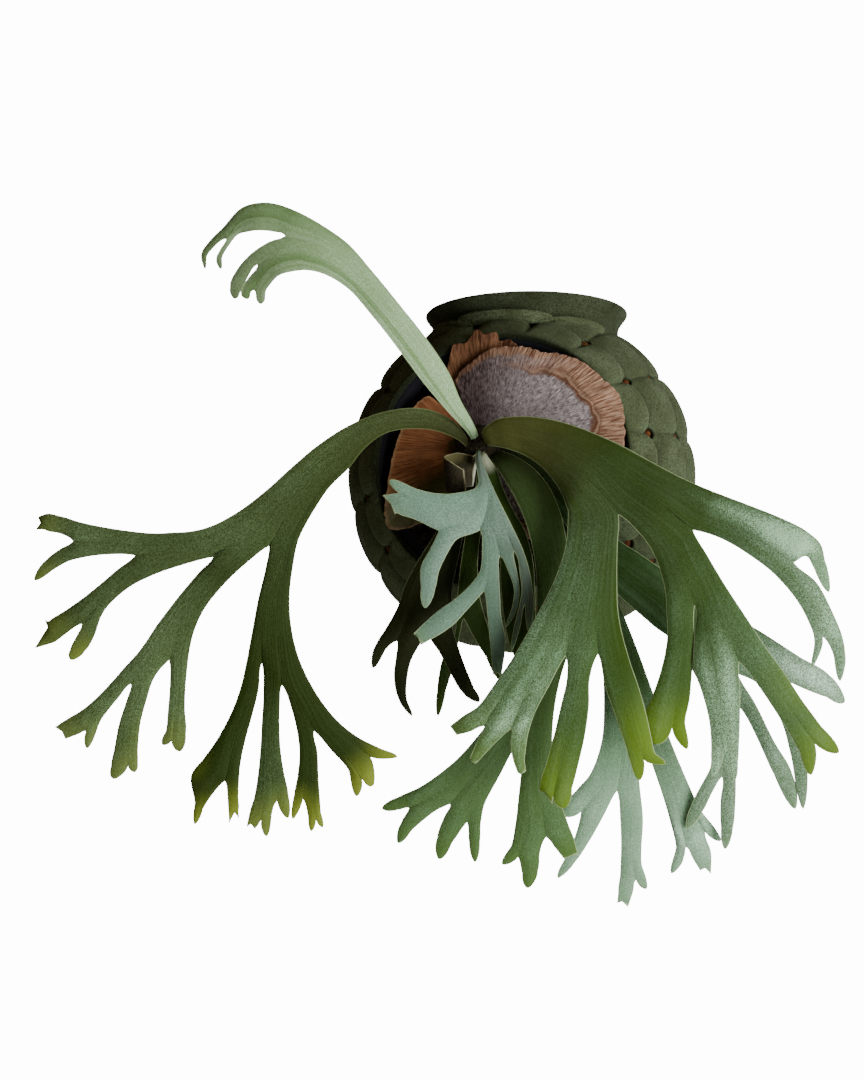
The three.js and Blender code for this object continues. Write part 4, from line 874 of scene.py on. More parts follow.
fill(olive_paper, olive_shader, {
    "Base Color": olive_colour, "Normal": relief(olive_paper, (olive_grain, 0.2)),
})

shield("shield_back", SHIELD_BACK, 95.5, 0, "shield_frond_back", paper, 1.0, 11)
shield("shield_left", SHIELD_LEFT, 97, 1.5, "shield_frond_left", olive_paper, 0.6, 12, first_angle=0)
shield("shield_round", SHIELD_ROUND, 99, 4.5, "shield_frond_round", felted, 0.8, 13)


# Fertile fronds
# Leathery green blades that arch out of the bud, fork again and again and hang down. Fine pale hairs
# lie on them like down, thickest along the middle of each finger, and their margins are pale.

# A rung is (left x, left y, right x, right y, depth) across the blade, in board steps from the bud on.
# A fork is its left margin, its crotches and its right margin. A part ends in a tip (x, y, depth), or
# at that depth in teeth: its left tooth, the notch and its right tooth.
# A tone from 0 to 1 turns a part from the blade's first green to its second, and down tells how thick
# the pale hairs lie. Both also paint light and shade: a pair across a part can paint one margin in shade,
# and down above 1 paints a highlight where a part catches the light. They are its values at its end, or a
# pair for its left and right margins, and it comes to them slowly from what the part before it had.
FERTILE_FROND_TALL = dict(down=(0.5, 0.4), foot_down=1.0, rungs=[
    (473, 442, 479.5, 439, 103), (468, 434, 477, 431, 118), (460, 424.5, 470.5, 418, 131),
    (449, 413, 462, 403, 143), (425, 385, 449, 373, 159), (401, 353, 426, 338, 172),
    (373, 317, 400, 305, 183), (347, 288, 373, 272, 190), (323, 274, 345, 241, 194),
    (309, 270.5, 322, 225, 195),
], depth=194, fork=[(296, 271), (285, 236), (296, 211)], parts=[
    dict(rungs=[(284, 273.5, 270, 241.5, 192)], depth=187, fork=[(276, 278), (258, 265), (252, 253)], parts=[
        dict(rungs=[(270, 285, 249, 277, 180)], depth=174, fork=[(266, 291), (254, 290), (242, 288)], parts=[
            dict(rungs=[(265.5, 297, 256, 297, 170)], tip=(261, 304, 166)),
            dict(rungs=[(250.5, 294.5, 241, 293.5, 170)], tip=(246.5, 299, 166)),
        ]),
        dict(rungs=[(248, 277, 238, 268, 181), (240, 293, 230, 288, 172)], tip=(234, 298.5, 167)),
    ]),
    dict(rungs=[
        (274, 232, 279, 204.5, 192), (259, 230.5, 262, 202.5, 190), (245, 232.5, 242, 207.5, 186),
    ], depth=181, fork=[(236, 236), (226, 239), (222.5, 228)], parts=[
        dict(rungs=[(229, 245, 220.5, 249, 175), (222, 257, 216, 259, 169)], tip=(221, 269, 163)),
        dict(rungs=[(214, 247, 209.5, 241, 176), (207, 256, 201.5, 253, 170)], tip=(205, 269, 163)),
    ]),
])

# Painted shade: the pairs of tone and down paint the lower margins darker and barer, as the light falls
# across the blade.
FERTILE_FROND_LEFT = dict(down=(0.7, 0.12), tone=(0, 0.9), foot_down=0.12, rungs=[
    (469, 443, 469, 450, 102), (465, 434, 461, 442, 114), (455, 422.5, 446, 434, 126),
    (435, 411.5, 430, 429.5, 139), (409, 408, 405, 429, 149), (378, 413.5, 384, 434, 155),
    (345, 427.5, 364, 449, 159), (317, 446, 349, 468, 161), (292, 467, 329, 488, 162),
    (270, 487, 316, 507, 162), (253, 501, 304, 528, 161),
], depth=160, fork=[(236, 513), (269, 546), (297, 545)], parts=[
    dict(down=(0.75, 0.12), tone=(0, 0.75), rungs=[(216, 524, 250, 560, 158)],
         depth=155, fork=[(195, 530.5), (213, 557), (231, 577)], parts=[
        dict(rungs=[(172, 532.5, 176, 567, 152)],
             depth=149, fork=[(148, 533), (135, 555.5), (151, 576)], parts=[
            dict(rungs=[
                (112, 528.5, 108, 554.5, 146),
            ], depth=143, fork=[(80, 522), (73, 541), (83, 557.5)], parts=[
                dict(rungs=[(60, 516, 60, 533.5, 140), (44, 514.5, 44, 529.5, 137)],
                     tip=(37, 522, 135), teeth=[(38, 517), (40.5, 523), (36, 529.5)]),
                dict(rungs=[(60, 549, 68, 561.5, 139), (46, 560, 53, 570, 135)], tip=(34.5, 580, 131)),
            ]),
            dict(rungs=[
                (118, 569, 133, 585, 145), (98, 586, 115, 599, 141),
            ], depth=138, fork=[(79, 601), (82, 624), (101, 617)], parts=[
                dict(rungs=[(63, 612, 67, 633, 135), (49, 621, 55, 642, 132)],
                     tip=(35, 647, 129), teeth=[(45, 620), (48, 627), (35, 648)]),
                dict(rungs=[(76, 637, 94, 637, 134), (70, 650, 85, 651, 131)], tip=(72, 660, 129)),
            ]),
        ]),
        dict(down=(0.8, 0.6), tone=(0.1, 0.3), rungs=[
            (200, 571, 219, 590, 151), (179, 596, 205, 608, 147), (159, 622, 195, 629, 143),
        ], depth=139, fork=[(140, 650), (169, 660), (189, 655)], parts=[
            dict(rungs=[], depth=135, fork=[(123, 669), (131, 684), (153, 680)], parts=[
                dict(rungs=[
                    (108, 686, 119, 697, 133), (92, 702, 107, 712, 130),
                ], depth=127, fork=[(79, 712), (86, 731), (100, 722)], parts=[
                    dict(rungs=[(67, 719, 76, 735, 125)],
                         tip=(57, 728, 123), teeth=[(55, 727), (62, 731.5), (65.5, 739)]),
                    dict(rungs=[], tip=(88, 748, 124)),
                ]),
                dict(rungs=[
                    (127, 699, 147, 699, 132), (119, 724, 140.5, 724, 129), (114, 750, 138, 750, 126),
                ], depth=123, fork=[(111, 766), (128, 766), (138, 762)], parts=[
                    dict(rungs=[], tip=(114, 779, 121)),
                    dict(rungs=[], tip=(135, 772, 121)),
                ]),
            ]),
            dict(rungs=[
                (170, 682, 186, 682, 136), (168, 710, 185, 710, 132),
            ], depth=129, fork=[(166, 731), (171.5, 741), (186, 733)], parts=[
                dict(rungs=[], tip=(162, 744, 127)),
                dict(rungs=[], tip=(181, 751, 126)),
            ]),
        ]),
    ]),
    dict(tone=1, down=0.03, rungs=[
        (266, 566, 293, 567, 161), (258, 600, 289.5, 599, 160), (252, 632, 292, 631, 158),
    ], depth=155, fork=[(246, 664), (262, 663), (282, 685), (307, 677)], parts=[
        dict(down=0.05, rungs=[
            (241, 686, 259, 687, 152), (232, 711, 253, 713, 149), (219, 736, 246, 738, 145),
        ], depth=141, fork=[(204, 758), (225, 781), (240, 768)], parts=[
            dict(rungs=[(191, 776, 212, 795, 138), (195, 803, 203, 809, 134)], tip=(194.5, 824, 131)),
            dict(rungs=[(227.5, 796, 238.5, 796, 137), (228.5, 811, 238.5, 811, 134)],
                 tip=(231, 822, 132), teeth=[(229, 823), (234.5, 812.5), (239, 818)]),
        ]),
        dict(down=0.45, rungs=[
            (263.5, 692, 280, 702, 152), (262, 720, 279.5, 722, 149), (260.5, 748, 280.5, 748, 146),
            (258, 774, 284, 772, 143),
        ], depth=139, fork=[(254, 798), (277, 801), (288.5, 795)], parts=[
            dict(rungs=[], depth=136, fork=[(249.5, 813), (261, 820), (272, 813)], parts=[
                dict(rungs=[], tip=(250, 829, 134), teeth=[(246.5, 827), (251, 824), (255, 829)]),
                dict(rungs=[], tip=(267, 836, 134)),
            ]),
            dict(rungs=[], tip=(288, 818, 136)),
        ]),
        dict(down=0.05, rungs=[(291, 707, 325, 706, 151)],
             depth=148, fork=[(297, 731), (314, 731), (342, 725)], parts=[
            dict(rungs=[
                (299.5, 752, 317.5, 752, 145), (297.5, 776, 318.5, 776, 141),
            ], depth=138, fork=[(294, 795), (303, 799), (320, 797)], parts=[
                dict(rungs=[], tip=(292.5, 819, 135)),
                dict(rungs=[], depth=136, fork=[(308, 816), (316, 820), (321, 813)], parts=[
                    dict(rungs=[], tip=(311, 831, 134)),
                    dict(rungs=[], tip=(323, 827, 134)),
                ]),
            ]),
            dict(rungs=[
                (330, 749, 358, 737, 144),
            ], depth=140, fork=[(349, 771), (362, 779), (370.5, 757), (381, 748.5)], parts=[
                dict(rungs=[], tip=(356, 796, 137)),
                dict(rungs=[], tip=(374, 784, 137)),
                dict(rungs=[], tip=(397, 757, 137)),
            ]),
        ]),
    ]),
])

FERTILE_FROND_RIGHT = dict(down=(0.3, 0.05), tone=(0.1, 0.3), foot_down=0.12, rungs=[
    (486, 446, 482, 439, 104), (489, 446, 482, 433, 117), (500, 447, 492, 422, 129),
    (524, 455, 514, 416.5, 141), (545, 470, 546, 418.5, 152), (560, 490, 578, 427, 161),
    (566, 505, 612, 441, 167),
], depth=171, fork=[(568, 519), (618.5, 515), (650, 461)], parts=[
    dict(tone=(0.5, 0.8), down=(1.25, -0.12), rungs=[
        (565, 548, 617.5, 545, 177), (554, 581, 617, 580, 182), (536, 617, 619, 618, 186),
    ], depth=188, fork=[(512, 659), (565.5, 656), (598, 654), (630, 662)], parts=[
        dict(tone=0.45, down=0.85, rungs=[
            (496, 682, 550, 684, 188),
        ], depth=187, fork=[(476, 708), (484, 726), (511, 729), (533, 717)], parts=[
            dict(rungs=[(463, 716, 467, 732.5, 185)],
                 tip=(449.5, 729, 182), teeth=[(450, 726), (453, 730), (456.5, 735)]),
            dict(rungs=[(477, 741, 496, 742, 184)],
                 tip=(471, 763, 180), teeth=[(469.5, 758.5), (472, 762), (476, 763.5)]),
            dict(rungs=[(510.5, 742, 527.5, 736, 185), (513, 760, 524.5, 758, 182)],
                 tip=(520, 775, 179), teeth=[(517.5, 772.5), (521, 774.5), (526, 771)]),
        ]),
        dict(tone=1, down=0.28, rungs=[
            (567, 677, 590, 677, 188), (561, 705, 589, 705, 187), (554, 735, 585, 735, 185),
            (546, 763, 579, 762, 182),
        ], depth=180, fork=[(540, 786), (553, 797), (572, 788)], parts=[
            dict(rungs=[], tip=(544, 800, 178), teeth=[(538.5, 790.5), (545, 793), (552, 804)]),
            dict(rungs=[], tip=(565, 808, 178)),
        ]),
        dict(tone=1, down=0.22, rungs=[
            (605, 686, 638, 685, 187), (615, 715, 645.5, 711, 185), (625, 744, 651.5, 738, 182),
        ], depth=180, fork=[(631, 765), (644, 760), (655, 753)], parts=[
            dict(rungs=[], tip=(640, 780, 178)),
            dict(rungs=[], tip=(665, 764, 178)),
        ]),
    ]),
    dict(tone=0.4, down=(0.2, 0.08), rungs=[(639, 533, 678, 476, 174)],
         depth=177, fork=[(656, 559), (693, 530), (712, 491)], parts=[
        dict(tone=0.6, down=0.22, rungs=[(664, 585, 706, 553, 180)],
             depth=182, fork=[(666.5, 612), (694.5, 606), (725, 585)], parts=[
            dict(tone=1, down=0.12, rungs=[
                (667, 641, 694, 640, 183), (660, 673, 692, 672, 183), (652, 697, 689.5, 700, 181),
            ], depth=178, fork=[(645, 715), (672, 728), (685, 722)], parts=[
                dict(rungs=[], tip=(654, 744, 176)),
                dict(rungs=[], tip=(687, 749, 175)),
            ]),
            dict(tone=(0.2, 0.8), down=(0.75, 0.6), rungs=[(694, 639, 746, 617, 184)],
                 depth=185, fork=[(693.5, 668), (739, 662), (767, 649)], parts=[
                dict(tone=0.2, down=(2.6, 2.2), rungs=[
                    (701, 690, 740, 690, 185), (709, 720, 740, 720, 184), (711, 745, 739, 745, 181),
                ], depth=177, fork=[(711, 761), (723, 757), (738, 761)], parts=[
                    dict(rungs=[], tip=(714, 776, 172)),
                    dict(rungs=[], tip=(733, 781, 172)),
                ]),
                dict(tone=0.9, down=0.35, rungs=[
                    (757, 684, 783, 671, 185), (777, 714, 802, 700, 183),
                ], depth=180, fork=[(799, 750), (815, 744), (821, 726)], parts=[
                    dict(rungs=[], tip=(811, 775, 177)),
                    dict(rungs=[], tip=(839, 752, 177)),
                ]),
            ]),
        ]),
        # Painted highlight: down up to 2.2 paints this arm and its fingers near white where the light
        # catches them.
        dict(tone=0.2, down=(1.0, 2.0), rungs=[
            (722, 539, 750, 505.5, 179), (752, 557, 780, 517.5, 182),
        ], depth=183, fork=[(777, 577), (794, 562.5), (805, 530)], parts=[
            dict(down=2.2, rungs=[
                (797, 601, 817, 583, 183), (809, 623, 832, 611, 181),
            ], depth=178, fork=[(814, 638), (823, 637), (841, 632)], parts=[
                dict(rungs=[], tip=(812, 668, 171)),
                dict(rungs=[(833, 654, 845, 652, 174)], tip=(840, 681, 169)),
            ]),
            dict(tone=0.8, down=2.2, rungs=[(806, 556, 820, 543, 181), (814, 569, 825, 561, 172)],
                 tip=(829, 592, 161)),
        ]),
    ]),
])

FERTILE_FROND_FRONT = dict(down=0.6, tone=(0, 0.8), foot_down=0.4, rungs=[
    (476, 450, 481, 449.5, 110), (475, 459, 482, 459, 119), (476.5, 469, 486, 471, 130),
    (478, 484, 495, 492, 143),
], depth=153, fork=[(456, 493), (480, 530), (512, 526)], parts=[
    dict(rungs=[], depth=157, fork=[(434, 493), (438.5, 530.5), (456, 540)], parts=[
        dict(rungs=[(414, 488, 414, 519, 159)],
             depth=160, fork=[(401, 482), (399.5, 493), (397, 513)], parts=[
            dict(rungs=[], tip=(389, 481, 160)),
            dict(rungs=[], tip=(381.5, 497, 160), teeth=[(382, 495.5), (391, 504), (395, 514)]),
        ]),
        dict(rungs=[
            (430, 549, 446, 556, 159), (421, 566, 439, 571, 160), (421, 588, 435, 589, 159),
        ], tip=(425, 608, 158)),
    ]),
    dict(tone=(0.2, 1), down=(0.35, 0.0), rungs=[], depth=158, fork=[
        (482, 548), (500, 556), (514, 551), (523, 550),
    ], parts=[
        dict(rungs=[(481, 567, 499, 573, 160)], depth=161, fork=[(475, 579), (484, 591), (500, 594)], parts=[
            dict(rungs=[(456, 598, 466, 611, 162), (434, 614, 449, 628, 162)],
                 tip=(416, 638, 162), teeth=[(413, 634), (418, 637.5), (421, 645)]),
            dict(rungs=[(487.5, 616, 501, 615, 162), (490, 642, 505.5, 640, 163)],
                 tip=(500, 679, 162), teeth=[(493, 675), (498, 673), (501, 679)]),
        ]),
        dict(rungs=[
            (508, 571, 517, 571, 158), (514, 589, 519.5, 590, 156), (512, 607, 517, 609, 154),
        ], tip=(506, 627, 152)),
        dict(rungs=[
            (520, 575, 530, 573, 160), (521.5, 592, 533, 592, 160),
        ], depth=159, fork=[(519.5, 604), (525, 604), (534, 606)], parts=[
            dict(rungs=[(515, 622, 521, 624, 156)], tip=(511, 652, 151)),
            dict(rungs=[], tip=(529, 633, 156)),
        ]),
    ]),
])

FERTILE_FROND_LOWER_LEFT = dict(down=0.08, foot_down=0.08, rungs=[
    (466, 461, 473, 464, 99), (460, 474, 473, 479, 108), (452, 495, 470, 500, 116),
    (444, 514, 466, 522, 123), (436, 532, 461, 546, 127), (420, 557, 456, 569, 130),
    (406, 583, 452, 591, 132), (398, 606, 452, 611, 133),
], depth=133, fork=[(386, 628), (397, 641), (428, 634), (452, 624)], parts=[
    dict(rungs=[(375, 646, 386, 649, 131)], tip=(373, 668, 127)),
    dict(rungs=[
        (396, 656, 413, 656, 131), (394, 678, 407, 680, 127), (399, 700, 407, 700, 123),
    ], tip=(412, 716, 119)),
    dict(rungs=[
        (441, 655, 460, 652, 136), (451, 674, 467, 671, 138), (463, 693, 474, 688, 139),
    ], tip=(479, 702, 138)),
])

FERTILE_FROND_GREEN = dict(down=0.15, foot_down=0.1, rungs=[
    (474, 466, 480, 466, 103), (476, 480, 484, 481, 115), (474, 500, 485, 501, 127),
    (467.5, 524, 482, 525, 136), (462, 555, 478, 557, 141), (458, 588, 479, 590, 142),
], depth=139, fork=[(457, 606), (464, 619), (482, 606)], parts=[
    dict(rungs=[
        (456, 627, 461, 630, 131), (441, 664, 453, 667, 118), (437, 692, 446, 690, 115),
    ], tip=(438, 716, 114)),
    dict(rungs=[(474, 638, 489, 629, 137), (486, 657, 497, 652, 135)], tip=(500, 680, 133)),
])

FERTILE_FROND_NARROW = dict(down=0.1, foot_down=0.1, rungs=[
    (481, 453, 484, 451, 112), (482, 461, 490, 459.5, 115), (486, 473, 496.5, 469, 119),
    (490, 491, 503, 488, 122),
    (494, 511, 512, 508, 129), (498, 535, 525, 531, 133), (500, 560, 533, 560, 134),
    (501, 590, 535, 590, 134), (504, 618, 536, 620, 133),
], depth=131, fork=[(508, 638), (520, 650), (540, 644)], parts=[
    dict(rungs=[], tip=(517, 660, 129)),
    dict(rungs=[], tip=(538, 690, 127)),
])

FERTILE_FROND_LOWER_MIDDLE = dict(down=(0.3, 0.12), foot_down=0.12, rungs=[
    (489, 456, 496, 450, 102), (495, 465, 508, 453, 117), (504, 479, 527, 463, 129),
    (515, 498, 546, 482, 138), (525, 521, 559, 508, 144), (532, 546, 566, 538, 148),
    (536, 573, 570, 570, 151), (537, 606, 572, 604, 152), (533, 641, 571, 640, 152),
    (519, 673, 560, 680, 151),
], depth=149, fork=[(500, 706), (520, 738), (553, 722)], parts=[
    dict(tone=1, down=0.45, rungs=[(470, 745, 500, 775, 146)],
         depth=143, fork=[(444, 770), (450, 804), (484, 806)], parts=[
        dict(rungs=[], depth=141, fork=[(418, 788), (409, 808), (431, 814)], parts=[
            dict(rungs=[(397, 797.5, 397, 810, 139)], tip=(382, 808, 137)),
            dict(rungs=[(401, 823, 412, 830, 139)], tip=(398, 843, 137)),
        ]),
        dict(rungs=[], depth=140, fork=[(445, 815), (467, 822), (481, 822)], parts=[
            dict(rungs=[(437, 838, 452, 843, 138)], tip=(439, 859, 135)),
            dict(rungs=[(469, 842, 480, 842, 138)], tip=(475, 862, 135)),
        ]),
    ]),
    dict(tone=1, down=0.35, rungs=[
        (521.5, 762, 552, 757, 146), (518.5, 796, 557, 790, 143),
    ], depth=140, fork=[(515, 826), (546, 837), (569, 826)], parts=[
        dict(rungs=[], depth=138, fork=[(511, 846), (518, 857), (540, 852)], parts=[
            dict(rungs=[], tip=(502, 864, 137)),
            dict(rungs=[(522, 873, 538, 871, 136)], tip=(528, 888, 134)),
        ]),
        dict(rungs=[(557, 850, 575, 843, 138)],
             tip=(572, 861, 136), teeth=[(564, 859), (570, 856), (578, 854)]),
    ]),
])

FERTILE_FROND_LOWER_RIGHT = dict(down=0.15, foot_down=0.1, rungs=[
    (496, 458, 502, 452, 96), (502, 469, 513, 460, 104), (515, 493, 533, 481, 110),
    (534, 523, 558, 511, 115), (556, 554, 584, 541, 119), (578, 588, 606, 571, 125),
    (592, 622, 620, 606, 129), (599, 646, 634, 641, 132),
], depth=133, fork=[(603, 670), (626, 700), (647, 676)], parts=[
    dict(tone=1, down=0.6, rungs=[
        (604, 704, 632, 726, 133), (602, 739, 637, 757, 133),
    ], depth=132, fork=[(590, 774), (617, 791), (640, 788)], parts=[
        dict(rungs=[], depth=130, fork=[(576, 791), (581, 812), (604, 815)], parts=[
            dict(rungs=[], tip=(562, 814, 128)),
            dict(rungs=[(574, 839, 590, 840, 128), (564, 860, 575, 862, 126)], tip=(558, 878, 125)),
        ]),
        dict(rungs=[
            (620, 818, 643, 818, 130), (621, 850, 641.5, 850, 128),
        ], depth=127, fork=[(620, 875), (636, 880), (642, 866)], parts=[
            dict(rungs=[(618, 893, 633, 892, 126)],
                 tip=(624, 907, 125), teeth=[(617, 903), (622, 901.5), (628, 907)]),
            dict(rungs=[], tip=(647, 888, 126)),
        ]),
    ]),
    dict(tone=1, down=0.85, rungs=[
        (640, 734, 661, 716, 133), (652, 765, 677, 757, 134), (663, 797, 692, 792, 134),
    ], depth=133, fork=[(670, 820), (686, 847), (705, 832), (701, 811)], parts=[
        dict(rungs=[(676, 847, 684, 857, 131)], tip=(671, 873, 128)),
        dict(rungs=[(693, 859, 711, 852, 131)],
             tip=(707, 874, 129), teeth=[(700, 870.5), (705, 868), (711, 874)]),
        dict(rungs=[], tip=(721, 839, 131)),
    ]),
])

FERTILE_FROND_FAR_RIGHT = dict(down=0.16, foot_down=0.0, rungs=[
    (500, 448, 505, 442, 103), (511, 458, 519, 447, 109), (532, 482, 546, 463, 117),
    (558, 512, 579, 487, 124), (585, 560, 607, 531, 131), (614, 591, 640, 554, 136),
    (650, 623, 677, 579, 139),
], depth=141, fork=[(680, 650), (704, 668), (743, 656), (729, 613)], parts=[
    dict(down=0.65, rungs=[
        (703, 692, 729, 693, 143), (711, 722, 736, 723, 144), (712, 748, 736, 748, 143),
    ], depth=141, fork=[(710, 768), (722, 777), (736, 770)], parts=[
        dict(rungs=[(700, 787, 713, 791, 141), (690, 808, 702, 812, 139)], tip=(687, 828, 137)),
        dict(rungs=[(720.5, 800, 735.5, 800, 141), (721, 827, 733, 828, 140)], tip=(725, 849, 139)),
    ]),
    dict(down=0.65, rungs=[], depth=142, fork=[(722, 689), (738, 674), (752, 662)], parts=[
        dict(rungs=[
            (741, 709, 755, 703, 142), (757, 738, 774, 741, 140), (774, 775, 792, 773, 137),
        ], tip=(795, 809, 133)),
        dict(rungs=[
            (760, 685, 771, 679, 143), (780, 718, 792, 713, 142), (791, 756, 806, 760, 139),
        ], tip=(803, 809, 134)),
    ]),
    dict(down=1.1, rungs=[
        (773, 673, 763, 633, 143), (800, 687, 800, 657, 141), (826, 697, 829, 675, 138),
    ], tip=(845, 701, 134)),
])

ROW_SPACING = 4.6  # board steps between two rows
FINGER_PLACES = np.array([0, 0.035, 0.17, 0.5, 0.83, 0.965, 1])
TIP_SHARES = np.array([0.18, 0.36, 0.54, 0.7, 0.82, 0.91, 0.97])
TOOTH_SHARES = [0.2, 0.4, 0.6, 0.78, 0.92]
BOW = 0.045  # of the blade's width
RIB_RELIEF = 1.1
CROTCH_ROUNDING = 10.0
MARGIN_HALF = 0.28  # half the blade's thickness at the margin
MIDDLE_HALF = 0.72
STALK_HALF = 0.5  # added to it at the foot
MARGIN_REACH = 5  # the waves of the margin fade over this distance from it
MARGIN_WAVE = 17  # width of a wave
WAVE_HEIGHT = 1.4
COLUMN_WIDTH = 1.1  # that the streaks are laid out by


def places_across(part):
    """Where the columns of a part lie across it, from 0 to 1: those of its own parts side by side, each
    as wide as its stretch of the fork."""
    if "tip" in part:
        return FINGER_PLACES
    width = np.hypot(*np.diff(np.array(part["fork"], float), axis=0).T)
    start = np.concatenate([[0], np.cumsum(width)]) / width.sum()
    inner = [start[i] + (start[i + 1] - start[i]) * places_across(p) for i, p in enumerate(part["parts"])]
    return np.concatenate([s[:-1] for s in inner] + [[1.0]])


def rib_across(part):
    """1 along the middle of each finger and 0 along the lines between them."""
    if "tip" in part:
        return 1 - np.abs(2 * FINGER_PLACES - 1)
    return np.concatenate([rib_across(p)[:-1] for p in part["parts"]] + [[0.0]])


def bowed(left, right, places, depth):
    """A row of board points from one margin to the other. Its middle stands out by a share of its width."""
    width = np.hypot(right[0] - left[0], right[1] - left[1])
    out = 4 * places * (1 - places) * (BOW * width * STEP)
    return np.stack([
        left[0] + (right[0] - left[0]) * places, left[1] + (right[1] - left[1]) * places, depth + out,
    ], axis=-1)


def fork_row(part):
    """The row along a part's fork: a bowed row for each of its own parts, side by side."""
    fork = part["fork"]
    rows = [
        bowed(fork[i], fork[i + 1], places_across(p), part["depth"]) for i, p in enumerate(part["parts"])
    ]
    return np.vstack([r[:-1] for r in rows] + [rows[-1][-1:]])


def next_row(part, start):
    """The row that follows a part's start: its first rung, or else its tip or its fork."""
    if part["rungs"]:
        left_x, left_y, right_x, right_y, depth = part["rungs"][0]
        return bowed((left_x, left_y), (right_x, right_y), places_across(part), depth)
    if "tip" in part:
        return np.repeat(np.array([part["tip"]], float), len(start), 0)
    return fork_row(part)


def board_gap(row, following):
    """The mean distance between two rows on the board, and never 0."""
    return max(1e-3, np.mean(np.linalg.norm((following - row)[:, :2], axis=1)))


def passage(before, a, b, after, shares, lean=0.0):
    """Rows between two rows: a smooth line for each column, whose direction at a row is weighed from the
    stretches on both sides. `lean` is added to the direction that the lines set out in."""
    d0, d1, d2 = board_gap(before, a), board_gap(a, b), board_gap(b, after)
    out = ((a - before) / d0 * d1 + (b - a) / d1 * d0) / (d0 + d1) * d1 + lean
    home = ((b - a) / d1 * d2 + (after - b) / d2 * d1) / (d1 + d2) * d1
    t = np.asarray(shares)[:, None, None]
    return (
        (2 * t ** 3 - 3 * t ** 2 + 1) * a + (t ** 3 - 2 * t ** 2 + t) * out
        + (3 * t ** 2 - 2 * t ** 3) * b + (t ** 3 - t ** 2) * home
    )


